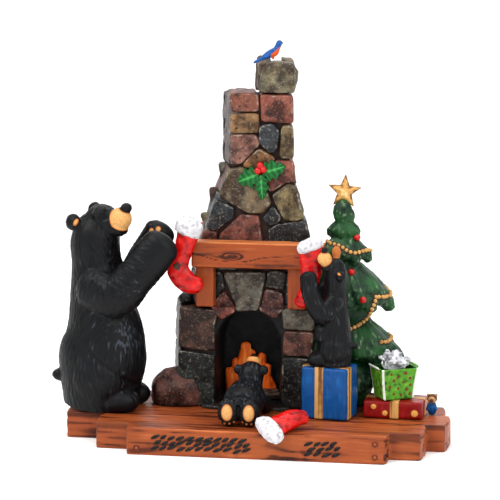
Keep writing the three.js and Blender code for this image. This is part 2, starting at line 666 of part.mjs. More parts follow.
function tree(obstacles) {
  const stations = [
    [0, 0, 0, TREE.trunk, TREE.trunk],
    [0, 0, TREE.height * 0.5, TREE.trunk * 0.8, TREE.trunk * 0.7],
    [0, 0, TREE.height * 0.93, 2, 1.6],
  ];
  const stem = limb(stations, { sides: 8, domes: [0, 1] });
  const tiers = BRANCHES.map((b) => branches({
    ...b, rim: b.rim * TREE.height, top: b.top * TREE.height, radius: b.radius * TREE.radius,
    shoulder: b.shoulder * TREE.radius, droop: 0.022 * TREE.height * (0.4 + b.radius),
  }));
  const balls = BALLS.map(([degrees, height, distance]) => {
    const angle = THREE.MathUtils.degToRad(degrees - 90);
    const out = distance * TREE.radius;
    const [x, y] = [out * Math.cos(angle), out * Math.sin(angle) * TREE.flat];
    return ball(BALL.radius, [x, y, height * TREE.height]);
  });
  const whole = unionOf([stem, ...tiers, ...balls]).translate([TREE.x, TREE.y, standing]);
  const cut = obstacles.reduce((left, grown) => left.subtract(grown), whole);
  return cut.decompose().sort((a, b) => b.volume() - a.volume())[0];
}

function star() {
  const points = Array.from({ length: 10 }, (_, i) => {
    const radius = STAR.radius * (i % 2 ? STAR.waist : 1);
    const angle = Math.PI / 2 + (i * Math.PI) / 5 + THREE.MathUtils.degToRad(STAR.lean);
    return [radius * Math.cos(angle), radius * Math.sin(angle)];
  });
  const edge = 0.7;
  const ring = (y) => points.map(([x, z]) => new THREE.Vector3(x, y, z));
  const half = STAR.thick / 2;
  const middle = treeTip + 4 * JOINT + STAR.radius * STAR.waist;
  return skin([ring(edge), ring(-edge)], new THREE.Vector3(0, half, 0), new THREE.Vector3(0, -half, 0))
    .translate([TREE.x, TREE.y, middle]);
}

// Gifts

function gift({ width, depth, height }, grow = 0) {
  const [x, y] = [width / 2 + grow, depth / 2 + grow];
  const parcel = box([-x, -y, -grow], [x, y, height + grow]);
  if (grow) return parcel;
  const out = RIBBON.proud;
  const half = RIBBON.wide / 2;
  const over = box([-half, -depth / 2 - out, 0], [half, depth / 2 + out, height]);
  const across = box([-width / 2 - out, -half, 0], [width / 2 + out, half, height]);
  return unionOf([parcel, over, across]);
}

const greenFoot = standing + RED_GIFT.height + JOINT;
const greenPlace = { at: [RED_GIFT.x - 2.2, RED_GIFT.y - 0.5, greenFoot], turn: GREEN_GIFT.turn };

// A paper bag whose lip flares outwards and whose mouth is sunk.
function greenGift(grow = 0) {
  const { width, depth, height, flare, recess, wall } = GREEN_GIFT;
  const ring = (out, z) => [[-1, -1], [1, -1], [1, 1], [-1, 1]]
    .map(([x, y]) => new THREE.Vector3(x * (width / 2 + out), y * (depth / 2 + out), z));
  const top = height + grow;
  const outer = skin([ring(grow, -grow), ring(grow, 0.7 * height), ring(flare + grow, top)],
    new THREE.Vector3(0, 0, -grow), new THREE.Vector3(0, 0, top));
  if (grow) return placed(outer, greenPlace);
  const mouth = skin([ring(-wall, height - recess), ring(flare - wall, height + 0.1)],
    new THREE.Vector3(0, 0, height - recess), new THREE.Vector3(0, 0, height + 0.1));
  return placed(outer.subtract(mouth), greenPlace);
}

// A gauze bow: loops that stand round a knot in the mouth of the bag
function bow() {
  const loops = Array.from({ length: BOW.loops }, (_, i) => {
    const lift = i % 2 ? 48 : 20;
    const radii = [BOW.radius * 0.5, BOW.radius * 0.32, BOW.radius * 0.34];
    const lying = ellipsoid([BOW.radius * 0.52, 0, 0], radii, { around: 6, down: 4 });
    const rise = GREEN_GIFT.height + BOW.radius * 0.3;
    return lying.rotate([0, -lift, (360 * i) / BOW.loops]).translate([0, 0, rise]);
  });
  const foot = GREEN_GIFT.height - GREEN_GIFT.recess - 0.5;
  const radii = [BOW.radius * 0.62, BOW.radius * 0.55, BOW.radius * 1.35];
  const knot = ellipsoid([0, 0, GREEN_GIFT.height], radii).trimByPlane([0, 0, 1], foot);
  return placed(unionOf([knot, ...loops]), greenPlace);
}

const bowClearance = placed(
  ellipsoid(
    [0, 0, GREEN_GIFT.height + BOW.radius * 0.6],
    [BOW.radius * 1.08, BOW.radius * 1.08, BOW.radius * 1.35],
  ),
  greenPlace,
);

// A small toy bear that stands beside the red gift
function toy() {
  const solid = unionOf([
    ellipsoid([0, 0, 30], [22, 18, 39], { around: 6, down: 5 }),
    ellipsoid([0, 0, 76], [25, 24, 24], { around: 6, down: 5 }),
    ellipsoid([0, -20, 70], [10, 10, 9], { around: 5, down: 4 }),
    ellipsoid([-19, 2, 95], [9, 5, 8], { around: 5, down: 4 }),
    ellipsoid([19, 2, 95], [9, 5, 8], { around: 5, down: 4 }),
  ]).trimByPlane([0, 0, 1], 0);
  const beside = RED_GIFT.x + RED_GIFT.width / 2 + RIBBON.proud + JOINT + 0.26 * TOY.height;
  return placed(solid, { at: [beside, RED_GIFT.y + 5, standing], turn: 20, scale: TOY.height / 100 });
}

// The bird on the chimney's rim and the sprig of holly on its front

function bird() {
  const unit = BIRD.length / 100;
  const body = limb([
    [-52, 0, 2, 3, 5], [-30, 0, 10, 6, 8], [-6, 0, 17, 12, 13], [12, 0, 24, 14, 13.5], [22, 0, 40, 9.5, 10],
    [28, 0, 50, 9.5, 9.5],
  ], { sides: 8 });
  const beak = limb([[34, 0, 53, 3.4, 3.4], [44, 0, 53, 1, 1]], { sides: 6, deep: [0, 0, 1] });
  const legs = box([-2, -5, -2], [12, 5, 16]);
  const { capTop: cap } = outline;
  const x = (cap.left + cap.right) / 2 - 2.4;
  return unionOf([body, beak, legs]).trimByPlane([0, 0, 1], 0).scale([unit, unit, unit])
    .rotate([0, 0, 14]).translate([x, cap.front + BIRD.rim, capTop + JOINT]);
}

function holly() {
  const leafShape = new THREE.Shape();
  const points = [
    [0, 0], [0.16, 0.2], [0.36, 0.22], [0.34, 0.4], [0.5, 0.58], [0.28, 0.66], [0.2, 0.86], [0, 1],
  ];
  const tips = [...points, ...points.slice(1, -1).reverse().map(([x, y]) => [-x, y])];
  tips.forEach(([x, y], i) => {
    const at = [x * HOLLY.leaf * 0.8, y * HOLLY.leaf];
    if (i) leafShape.lineTo(...at); else leafShape.moveTo(...at);
  });
  leafShape.closePath();
  const blade = new THREE.ExtrudeGeometry(leafShape, {
    depth: HOLLY.thick + CHIMNEY.mortarDepth + 1, bevelEnabled: false,
  });
  const leaf = solidOf(blade, new THREE.Matrix4().setPosition(0, 0, -CHIMNEY.mortarDepth - 1));
  const leaves = [110, -76, 182].map((turn) => leaf.translate([0, -1.2, 0]).rotate([0, 0, turn]));
  const spots = [[-1.5, 1.2], [1.6, 1.6], [0.2, -1.2]];
  const berries = spots.map(([x, y]) => ball(HOLLY.berry, [x, y, HOLLY.thick]));
  const sprig = unionOf([...leaves, ...berries]).rotate([90, 0, 0]);
  const { shoulderFoot: low, shoulderTop: high } = outline;
  const share = HOLLY.up / CHIMNEY.shoulderHeight;
  const face = low.front + share * (high.front - low.front);
  const lean = THREE.MathUtils.radToDeg(Math.atan2(high.front - low.front, high.z - low.z));
  return sprig.rotate([-lean, 0, 0]).translate([HOLLY.x, face, lintelTop + HOLLY.up]);
}

// The group

const PAINT = {
  wood: { color: 0xa8552c, roughness: 0.55 },
  stone: { color: 0x6d625a, roughness: 0.6 },
  fur: { color: 0x1b1c1f, roughness: 0.4 },
  fir: { color: 0x1f4a32, roughness: 0.5 },
  gold: { color: 0xd9a75c, roughness: 0.35, metalness: 0.2 },
  blue: { color: 0x10509a, roughness: 0.4 },
  red: { color: 0xc01414, roughness: 0.35 },
  green: { color: 0x4da33a, roughness: 0.45 },
  tan: { color: 0xc89a68, roughness: 0.5 },
};

function meshOf(name, solid, paint) {
  const geometry = geometryOf(mainBody(name, solid));
  geometry.computeVertexNormals();
  const mesh = new THREE.Mesh(geometry, new THREE.MeshStandardMaterial(paint));
  mesh.name = name;
  return mesh;
}

const blueGift = placed(gift(BLUE_GIFT), { at: [BLUE_GIFT.x, BLUE_GIFT.y, standing], turn: BLUE_GIFT.turn });
const redPlace = { at: [RED_GIFT.x, RED_GIFT.y, standing], turn: RED_GIFT.turn };
const grownBig = bigBear(JOINT);
const grownSmall = smallBear(JOINT);
const treeObstacles = [
  chimneyClearance, bowClearance, greenGift(2 * JOINT), placed(gift(RED_GIFT, 2 * JOINT), redPlace),
  placed(gift(BLUE_GIFT, 2 * JOINT), { at: [BLUE_GIFT.x, BLUE_GIFT.y, standing], turn: BLUE_GIFT.turn }),
  mantelClearance, grownSmall,
];

const pieces = [
  ['base', deck(), PAINT.wood],
  ['fireplace', fireplace(), PAINT.stone],
  ['mantel', mantel(), PAINT.wood],
  ['bird', bird(), PAINT.blue],
  ['big_bear', bigBear(0), PAINT.fur],
  ['small_bear', smallBear(0).subtract(mantelClearance), PAINT.fur],
  ['cub', cub(), PAINT.fur],
  ['left_stocking', hungStocking(LEFT_STOCKING, MANTEL.left + 0.8, 12, grownBig), PAINT.red],
  ['right_stocking', hungStocking(RIGHT_STOCKING, MANTEL.right - 6.8, 1, grownSmall), PAINT.red],
  ['floor_stocking', floorStocking(), PAINT.red],
  ['tree', tree(treeObstacles), PAINT.fir],
  ['star', star(), PAINT.gold],
  ['blue_gift', blueGift, PAINT.blue],
  ['red_gift', placed(gift(RED_GIFT), redPlace), PAINT.red],
  ['green_gift', unionOf([greenGift(), bow()]), PAINT.green],
  ['toy', toy(), PAINT.tan],
];

const group = new THREE.Group();
group.name = 'christmas_bear_figurine';
group.add(...pieces.map(([name, solid, paint]) => meshOf(name, solid, paint)));

// The origin is on the surface that the deck stands on, under the middle of the whole group.
const whole = new THREE.Box3().setFromObject(group);
const middle = whole.getCenter(new THREE.Vector3());
group.position.set(-middle.x, -middle.y, -whole.min.z);

export default group;
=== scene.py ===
"""Looks of a painted cast-resin Christmas group: three black bears round a stone fireplace on a plank deck.

Shapes are worked out in millimetres in the source's own frame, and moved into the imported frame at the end.
"""
import math

import bpy
import numpy as np
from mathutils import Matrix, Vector
from mathutils.bvhtree import BVHTree


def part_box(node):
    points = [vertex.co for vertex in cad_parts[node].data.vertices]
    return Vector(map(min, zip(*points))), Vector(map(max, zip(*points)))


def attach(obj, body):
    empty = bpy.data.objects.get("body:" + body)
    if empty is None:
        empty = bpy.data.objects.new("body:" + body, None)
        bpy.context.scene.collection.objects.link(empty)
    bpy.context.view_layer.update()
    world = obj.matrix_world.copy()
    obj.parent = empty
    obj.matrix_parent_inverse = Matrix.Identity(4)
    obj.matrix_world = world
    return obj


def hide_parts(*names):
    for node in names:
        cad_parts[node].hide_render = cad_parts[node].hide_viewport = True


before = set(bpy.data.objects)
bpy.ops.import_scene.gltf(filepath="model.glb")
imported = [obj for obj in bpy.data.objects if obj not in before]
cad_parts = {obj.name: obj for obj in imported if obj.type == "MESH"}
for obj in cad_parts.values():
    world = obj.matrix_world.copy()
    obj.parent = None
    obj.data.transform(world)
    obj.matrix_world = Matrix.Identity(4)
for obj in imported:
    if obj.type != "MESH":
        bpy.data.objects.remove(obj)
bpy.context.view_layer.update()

# Where the source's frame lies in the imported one: the mantel's left end and back are at known places

MANTEL_LEFT, MANTEL_BACK = -38.0, 19.2
low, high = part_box("mantel")
SHIFT = np.array([1000 * low.x - MANTEL_LEFT, 1000 * high.y - MANTEL_BACK, 0.0])

# The photo's camera, in mm: what it looks at, its distance, its own axes and the size of a pixel there

AIM, DISTANCE, PIXEL, PICTURE = np.array([-3, 0, 107.5]), 1400, 0.55, 500
RIGHT, UP, TOWARDS = (np.array(x) for x in ((0.98481, 0.17365, 0), (-0.02717, 0.15406, 0.98769),
    (0.17151, -0.97268, 0.15643)))
EYE = AIM + DISTANCE * TOWARDS

# Levels and planes, as in the source

DECK_TOP, DECK_FRONT = 15, -43
STAND = 15.3
LEDGE = STAND + 57
LINTEL_TOP = LEDGE + 35
SHOULDER_TOP = LINTEL_TOP + 43
STACK_TOP = SHOULDER_TOP + 40.5
CAP_TOP = STACK_TOP + 19.5
BEAM_BOTTOM = LINTEL_TOP - 12
BEAM_TOP = BEAM_BOTTOM + 15

# Noise


def _tables(seed):
    rng = np.random.default_rng(seed)
    grad = rng.normal(size=(256, 3))
    return rng.permutation(256), grad / np.linalg.norm(grad, axis=1, keepdims=True)


PERM, GRAD = _tables(11)


def noise(p, scale=1.0, offset=0.0):
    """Smooth noise, about -1 to 1, at points p. scale is the size of a lump in mm, one number or three."""
    q = np.asarray(p, float) / np.asarray(scale, float) + offset
    cell = np.floor(q).astype(int)
    f = q - cell
    w = f * f * f * (f * (f * 6 - 15) + 10)
    out = np.zeros(len(q))
    for dx in (0, 1):
        for dy in (0, 1):
            for dz in (0, 1):
                k = PERM[(cell[:, 0] + dx) & 255]
                k = PERM[(k + cell[:, 1] + dy) & 255]
                k = PERM[(k + cell[:, 2] + dz) & 255]
                corner = np.array([dx, dy, dz])
                weight = np.prod(np.where(corner, w, 1 - w), axis=1)
                out += weight * np.sum(GRAD[k] * (f - corner), axis=1)
    return 1.6 * out


def fractal(p, scale, octaves=3, offset=0.0):
    total = np.zeros(len(p))
    for i in range(octaves):
        total += noise(p, np.asarray(scale, float) / 2**i, offset + 7.3 * i) / 2**i
    return total


def step(x, low, high):
    """0 at low and 1 at high, smooth between. Where low is the larger, it falls."""
    t = np.clip((x - low) / (high - low), 0, 1)
    return t * t * (3 - 2 * t)


# Shells: (vertices, faces)


def catmull(points, count):
    """count points on a smooth curve through the given ones."""
    p = np.asarray(points, float)
    p = np.vstack([2 * p[0] - p[1], p, 2 * p[-1] - p[-2]])
    t = np.linspace(0, len(p) - 3 - 1e-9, count)
    i = t.astype(int)
    f = (t - i)[:, None]
    a, b, c, d = p[i], p[i + 1], p[i + 2], p[i + 3]
    return 0.5 * (2 * b + (c - a) * f + (2 * a - 5 * b + 4 * c - d) * f**2 + (3 * b - 3 * c + d - a) * f**3)


def unit(v):
    v = np.asarray(v, float)
    return v / np.maximum(np.linalg.norm(v, axis=-1, keepdims=True), 1e-12)


def grid_faces(rows, columns, closed=True):
    """Quads between rows of points, each row a loop if closed."""
    span = columns if closed else columns - 1
    i, j = np.meshgrid(np.arange(rows - 1), np.arange(span), indexing="ij")
    a, b = i * columns + j, i * columns + (j + 1) % columns
    return np.stack([a, b, b + columns, a + columns], -1).reshape(-1, 4).tolist()


def capped(rows, columns):
    """Quads between closed rows of points, with a lid on the first and the last."""
    f = grid_faces(rows, columns)
    f.append(list(range(columns))[::-1])
    f.append(list(range((rows - 1) * columns, rows * columns)))
    return f


def limb(stations, deep=(0, 1, 0), domes=(1, 1), sides=28, rings=14):
    """A limb or trunk through stations x, y, z, half width, half depth, with a dome at each end."""
    s = catmull(stations, rings * (len(stations) - 1))
    centre, size = s[:, :3], np.maximum(s[:, 3:5], 0.05)
    along = unit(np.gradient(centre, axis=0))
    deep = np.asarray(deep, float)
    b = unit(deep - along * (along @ deep)[:, None])
    n = np.cross(b, along)
    for end, at, order in ((0, 0, -1), (1, -1, 1)):
        if domes[end]:
            reach = domes[end] * size[at].min()
            dome = [
                (centre[at] + order * along[at] * reach * math.sin(t), size[at] * max(math.cos(t), 0.01), n[at],
                b[at])
                for t in np.linspace(0, math.pi / 2, 8)[1:]
            ]
            dome = [np.array(x) for x in zip(*dome[::order])]
            centre, size, n, b = (np.vstack(x[::order]) for x in zip((centre, size, n, b), dome))
    a = np.linspace(0, 2 * math.pi, sides, endpoint=False)
    ring = centre[:, None] + (
        n[:, None] * (size[:, 0:1, None] * np.cos(a)[None, :, None])
        + b[:, None] * (size[:, 1:2, None] * np.sin(a)[None, :, None])
    )
    return ring.reshape(-1, 3), capped(len(centre), sides)


def turn_matrix(degrees):
    """Rotation about X, then Y, then Z of the piece's own axes."""
    x, y, z = (math.radians(d) for d in degrees)
    rx = np.array([[1, 0, 0], [0, math.cos(x), -math.sin(x)], [0, math.sin(x), math.cos(x)]])
    ry = np.array([[math.cos(y), 0, math.sin(y)], [0, 1, 0], [-math.sin(y), 0, math.cos(y)]])
    rz = np.array([[math.cos(z), -math.sin(z), 0], [math.sin(z), math.cos(z), 0], [0, 0, 1]])
    return rx @ ry @ rz


def ellipsoid(centre, radii, tilt=(0, 0, 0), around=28, down=18):
    u = np.linspace(0, 2 * math.pi, around, endpoint=False)
    t = np.linspace(0.02, math.pi - 0.02, down)
    x = np.sin(t)[:, None] * np.cos(u)
    y = np.sin(t)[:, None] * np.sin(u)
    z = np.repeat(np.cos(t)[:, None], around, 1)
    v = np.stack([x, y, z], -1).reshape(-1, 3)[::-1] * np.asarray(radii, float)
    return v @ turn_matrix(tilt).T + np.asarray(centre, float), capped(down, around)


def prism(outline, top, bottom, axis=2):
    """A straight bar over a flat outline, anticlockwise, along X, Y or Z."""
    o = np.asarray(outline, float)
    n = len(o)
    v = np.zeros((2 * n, 3))
    others = [i for i in range(3) if i != axis]
    v[:n, others] = o
    v[n:, others] = o
    v[:n, axis] = bottom
    v[n:, axis] = top
    f = [list(range(n))[::-1], list(range(n, 2 * n))]
    f += [[i, (i + 1) % n, n + (i + 1) % n, n + i] for i in range(n)]
    return v, f


def box_shell(lo, hi):
    (x0, y0, z0), (x1, y1, z1) = lo, hi
    return prism([(x0, y0), (x1, y0), (x1, y1), (x0, y1)], z1, z0)


def joined(shells):
    vs, fs, base = [], [], 0
    for v, f in shells:
        vs.append(np.asarray(v, float))
        fs += [[i + base for i in face] for face in f]
        base += len(v)
    return np.vstack(vs), fs


# Sculpting


def _temporary(v, f):
    mesh = bpy.data.meshes.new("work")
    mesh.from_pydata(np.asarray(v, float).tolist(), [], [list(map(int, x)) for x in f])
    obj = bpy.data.objects.new("work", mesh)
    bpy.context.scene.collection.objects.link(obj)
    return obj


def _evaluated(obj):
    shown = obj.evaluated_get(bpy.context.evaluated_depsgraph_get())
    mesh = shown.to_mesh()
    v = np.empty(3 * len(mesh.vertices), np.float32)
    mesh.vertices.foreach_get("co", v)
    total = np.empty(len(mesh.polygons), np.int32)
    mesh.polygons.foreach_get("loop_total", total)
    loops = np.empty(len(mesh.loops), np.int32)
    mesh.loops.foreach_get("vertex_index", loops)
    shown.to_mesh_clear()
    data = obj.data
    bpy.data.objects.remove(obj)
    bpy.data.meshes.remove(data)
    if (total == 4).all():
        return v.reshape(-1, 3).astype(float), loops.reshape(-1, 4)
    cuts = np.cumsum(total)[:-1]
    return v.reshape(-1, 3).astype(float), np.split(loops, cuts)


def skin(shells, voxel, smooth=4):
    """One closed skin round overlapping shells, in quads about a voxel wide."""
    obj = _temporary(*joined(shells))
    remesh = obj.modifiers.new("remesh", "REMESH")
    remesh.mode = "VOXEL"
    remesh.voxel_size = voxel
    relax = obj.modifiers.new("relax", "SMOOTH")
    relax.factor = 0.5
    relax.iterations = smooth
    return _evaluated(obj)


def normals(v, f):
    f = np.asarray(f)
    n = np.cross(v[f[:, 2]] - v[f[:, 0]], v[f[:, 3]] - v[f[:, 1]])
    out = np.zeros_like(v)
    for k in range(4):
        np.add.at(out, f[:, k], n)
    return unit(out)


def pressed(v, f, height):
    """The skin moved out along its normals by height, one number per vertex."""
    return v + normals(v, f) * np.asarray(height)[:, None]


def ground(v, floor):
    """Nothing stays below a height."""
    v[:, 2] = np.maximum(v[:, 2], floor)


def inside(v, centre, radii, tilt=(0, 0, 0)):
    """About how far each point lies inside an ellipsoid, in mm: negative outside."""
    q = (v - np.asarray(centre, float)) @ turn_matrix(tilt)
    r = np.linalg.norm(q / np.asarray(radii, float), axis=1)
    return (1 - r) * min(radii)


# Objects


def piece(name, v, f, paint, node, **values):
    """A visible piece in place of a node's solid. Each of values becomes an attribute, a colour if it has columns."""
    mesh = bpy.data.meshes.new(name)
    mesh.from_pydata(((v + SHIFT) / 1000).tolist(), [], [list(map(int, x)) for x in f])
    mesh.validate()
    mesh.shade_smooth()
    for key, data in values.items():
        data = np.asarray(data, np.float32)
        if data.ndim == 1:
            mesh.attributes.new(key, "FLOAT", "POINT").data.foreach_set("value", data)
        else:
            rgba = np.hstack([data, np.ones((len(v), 1), np.float32)])
            mesh.attributes.new(key, "FLOAT_COLOR", "POINT").data.foreach_set("color", rgba.ravel())
    mesh.materials.append(MATERIALS[paint])
    obj = bpy.data.objects.new(name, mesh)
    bpy.context.scene.collection.objects.link(obj)
    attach(obj, "root")
    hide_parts(node)


# Materials


class Paint:
    """A node material under construction. Every call adds one node and returns its main output."""

    def __init__(self, name, roughness=0.45, **settings):
        self.material = bpy.data.materials.new(name)
        self.material.use_nodes = True
        self.tree = self.material.node_tree
        self.shader = next(n for n in self.tree.nodes if n.type == "BSDF_PRINCIPLED")
        self.set("Roughness", roughness)
        self.set("Specular IOR Level", 0.2)
        for key, value in settings.items():
            self.set(key.replace("_", " "), value)
        self.place = self.add("ShaderNodeTexCoord").outputs["Object"]

    def add(self, kind, **settings):
        node = self.tree.nodes.new(kind)
        for key, value in settings.items():
            setattr(node, key, value)
        return node

    def set(self, socket, value):
        target = self.shader.inputs[socket]
        if isinstance(value, bpy.types.NodeSocket):
            self.tree.links.new(value, target)
        else:
            target.default_value = (*value, 1) if isinstance(value, tuple) and len(value) == 3 else value

    def feed(self, node, socket, value):
        target = node.inputs[socket]
        if isinstance(value, bpy.types.NodeSocket):
            self.tree.links.new(value, target)
        elif isinstance(value, tuple) and len(value) == 3 and target.type == "RGBA":
            target.default_value = (*value, 1)
        else:
            target.default_value = value

    def value(self, name):
        return self.add("ShaderNodeAttribute", attribute_name=name).outputs["Fac"]

    def colour(self, name):
        return self.add("ShaderNodeAttribute", attribute_name=name).outputs["Color"]

    def noise(self, scale, detail=3.0, stretch=(1, 1, 1), roughness=0.55):
        """scale counts lumps in a metre."""
        mapping = self.add("ShaderNodeMapping")
        self.feed(mapping, "Vector", self.place)
        mapping.inputs["Scale"].default_value = stretch
        node = self.add("ShaderNodeTexNoise")
        self.feed(node, "Vector", mapping.outputs[0])
        for key, val in (("Scale", scale), ("Detail", detail), ("Roughness", roughness)):
            self.feed(node, key, val)
        return node.outputs["Fac"]

    def between(self, value, low, high, to_low=0.0, to_high=1.0):
        node = self.add("ShaderNodeMapRange", interpolation_type="SMOOTHSTEP")
        for key, val in (("Value", value), ("From Min", low), ("From Max", high), ("To Min", to_low),
            ("To Max", to_high)):
            self.feed(node, key, val)
        return node.outputs["Result"]

    def mix(self, share, a, b, mode="MIX"):
        node = self.add("ShaderNodeMix", data_type="RGBA", blend_type=mode)
        for i, val in ((0, share), (6, a), (7, b)):
            self.feed(node, i, val)
        return node.outputs[2]

    def maths(self, operation, a, b=0.0):
        node = self.add("ShaderNodeMath", operation=operation)
        self.feed(node, 0, a)
        self.feed(node, 1, b)
        return node.outputs[0]

    def uneven(self, level, noise, share):
        """level, with noise about zero added to it."""
        return self.maths("ADD", level, self.maths("MULTIPLY", self.maths("SUBTRACT", noise, 0.5), share))

    def bump(self, height, depth=0.0002, strength=1.0):
        """depth is the relief's height in metres."""
        node = self.add("ShaderNodeBump")
        self.feed(node, "Height", height)
        node.inputs["Distance"].default_value = depth
        node.inputs["Strength"].default_value = strength
        self.tree.links.new(node.outputs[0], self.shader.inputs["Normal"])

    def finish(self, base):
        self.set("Base Color", base)
        return self.material


def srgb(r, g, b):
    """A colour of 0 to 255, in the linear values that the shader takes."""
    return tuple(x / 12.92 if x <= 0.04045 else ((x + 0.055) / 1.055) ** 2.4 for x in (r / 255, g / 255, b / 255))


def brushed(name, dark, body, light, roughness=0.45, speckle=0.5, size=380, **settings):
    """Hand-painted resin: a dark wash in the hollows and a dry-brushed light on the ridges of "relief"."""
    p = Paint(name, roughness, **settings)
    relief = p.value("relief")
    blotch = p.noise(size, 4)
    level = p.uneven(relief, blotch, speckle)
    base = p.mix(p.between(level, -0.75, 0.05), srgb(*dark), srgb(*body))
    base = p.mix(p.between(level, 0.25, 0.95), base, srgb(*light))
    p.bump(p.noise(size * 4, 3), 0.00012, 0.6)
    return p, base


def fur_paint(name):
    """Black fur with a blue-grey sheen on its ridges; bare skin where "tan" is above zero."""
    p, base = brushed(name, (4, 4, 5), (14, 15, 17), (56, 60, 68), 0.42, 0.3, 260, Specular_IOR_Level=0.14)
    tan = p.mix(p.between(p.noise(900, 3), 0.35, 0.7), srgb(198, 144, 84), srgb(214, 164, 102))
    rim = p.mix(p.between(p.value("tan"), 0.0, 0.9), srgb(172, 96, 44), tan)
    share = p.between(p.value("tan"), -0.08, 0.08)
    return p.finish(p.mix(share, base, rim))


def wood_paint(name):
    p, base = brushed(name, (52, 18, 8), (146, 70, 32), (180, 98, 52), 0.42, 0.5, 190)
    streak = p.noise(120, 6, stretch=(0.12, 1, 1), roughness=0.65)
    base = p.mix(p.between(streak, 0.42, 0.62, 0, 0.4), base, srgb(118, 48, 20))
    base = p.mix(p.between(p.noise(45, 2, stretch=(0.4, 1, 1)), 0.45, 0.75, 0, 0.45), base, srgb(170, 88, 44))
    return p.finish(base)


def stone_paint(name):
    p = Paint(name, 0.42)
    relief, tint = p.value("relief"), p.colour("tint")
    grain = p.noise(760, 6, roughness=0.72)
    patch = p.noise(120, 4, roughness=0.6)
    pale, deep = p.mix(1.0, tint, srgb(226, 214, 192), "SCREEN"), p.mix(1.0, tint, srgb(128, 116, 116), "MULTIPLY")
    base = p.mix(p.between(patch, 0.38, 0.62), deep, tint)
    base = p.mix(p.between(grain, 0.52, 0.74, 0, 0.22), base, pale)
    base = p.mix(p.between(grain, 0.26, 0.46, 0.5, 0), base, deep)
    base = p.mix(p.between(relief, -1.0, -0.15), srgb(20, 12, 10), base)
    level = p.uneven(relief, grain, 1.6)
    base = p.mix(p.between(level, 0.7, 1.35, 0, 0.5), base, srgb(176, 168, 152))
    p.bump(grain, 0.0003, 0.6)
    return p.finish(base)


def mortar_paint(name):
    p = Paint(name, 0.6)
    level = p.uneven(p.value("relief"), p.noise(300, 4), 1.2)
    base = p.mix(p.between(level, -0.6, 0.2), p.mix(0.6, p.colour("tint"), srgb(6, 5, 5)), p.colour("tint"))
    base = p.mix(p.between(level, 0.4, 1.1, 0, 0.35), base, srgb(92, 78, 70))
    p.bump(p.noise(700, 4), 0.0004, 0.8)
    return p.finish(base)


def fir_paint(name):
    """Green boughs with pale grey-green brush marks towards their tips, and a painted shadow in dark brown under the
    strings of beads.
    """
    p = Paint(name, 0.42)
    level = p.uneven(p.value("relief"), p.noise(260, 5), 1.4)
    base = p.mix(p.between(level, -0.9, 0.0), srgb(8, 16, 12), srgb(22, 56, 32))
    base = p.mix(p.between(p.noise(95, 2), 0.42, 0.66, 0, 0.6), base, srgb(38, 92, 42))
    marks = p.maths("ADD", level, p.maths("MULTIPLY", p.value("tips"), 0.45))
    base = p.mix(p.between(marks, 0.35, 1.05, 0, 0.85), base, srgb(132, 152, 116))
    # Painted shadow: dark brown on the boughs just under the strings of beads.
    base = p.mix(p.between(p.value("band"), -0.3, 0.5), base, srgb(34, 22, 14))
    p.bump(p.noise(900, 4), 0.0002, 0.7)
    return p.finish(base)


MATERIALS = {
    "mortar": mortar_paint("mortar_and_soot"),
    "fur": fur_paint("black_fur_paint"),
    "wood": wood_paint("orange_wood_paint"),
    "stone": stone_paint("stone_paint"),
    "fir": fir_paint("fir_green_paint"),
}


def simple(name, dark, body, light, roughness=0.4, speckle=0.4, size=300, marks=(), **settings):
    """marks are (attribute, colour, soft): the colour wherever the attribute is above zero."""
    p, base = brushed(name, dark, body, light, roughness, speckle, size, **settings)
    for key, colour, soft in marks:
        base = p.mix(p.between(p.value(key), -soft, soft), base, srgb(*colour))
    MATERIALS[name] = p.finish(base)


simple("red_gloss", (80, 1, 4), (184, 8, 10), (224, 52, 44), 0.25, 0.5, 160, Specular_IOR_Level=0.4)
simple("stocking", (132, 4, 5), (192, 10, 8), (214, 36, 26), 0.3, 0.5, 160, [("patch", (66, 32, 20), 0.3)],
    Specular_IOR_Level=0.3)
simple("white_fluff", (166, 162, 168), (204, 203, 206), (222, 222, 224), 0.7, 0.6, 420)
# The white tissue is painted grey in its hollows and folds: painted shade.
simple("tissue", (110, 110, 116), (190, 190, 194), (238, 238, 240), 0.55, 0.4, 400)
simple("gold", (104, 60, 20), (196, 148, 84), (238, 206, 142), 0.32, 0.5, 420)
simple("red_wrap", (52, 2, 3), (122, 7, 7), (156, 22, 16), 0.34, 0.5, 300, [("spot", (206, 150, 72), 0.12)])
simple("blue_matt", (1, 26, 66), (4, 66, 126), (18, 88, 152), 0.4, 0.5)
simple("green_paper", (22, 70, 14), (80, 146, 32), (126, 184, 66), 0.45, 0.7, 300,
       [("spot", (104, 48, 24), 0.15), ("trim", (214, 218, 208), 0.1)])
simple("leaf_green", (4, 42, 16), (18, 102, 40), (64, 150, 76), 0.35)
simple("black_strokes", (4, 4, 4), (16, 14, 13), (50, 46, 44), 0.4)
simple("flame", (150, 36, 6), (236, 98, 22), (250, 150, 60), 0.38, 0.7, 200)
simple("bark", (18, 10, 8), (66, 44, 32), (122, 94, 74), 0.5, 0.7, 260)
simple("mantel", (58, 22, 8), (142, 64, 26), (188, 110, 62), 0.4, 0.5, 190)
simple("toy_tan", (96, 62, 34), (180, 136, 86), (220, 184, 136), 0.4, 0.4, 400, [("stripe", (84, 42, 22), 0.3)])
simple("bird_blue", (8, 30, 72), (26, 78, 142), (72, 126, 184), 0.36, 0.5, 400, [("breast", (202, 78, 28), 0.25)])

# The deck

# Boards reach this far into their neighbours, so that one skin closes round them all
OVERLAP = 0.4
# Left, right, front and back of each board
BOARDS = [(-65, 79, DECK_FRONT, -31), (-85, 97, -31, -9), (-107, 108, -9, 16), (-103, 103, 16, 38),
    (-84, 92, 38, 54)]


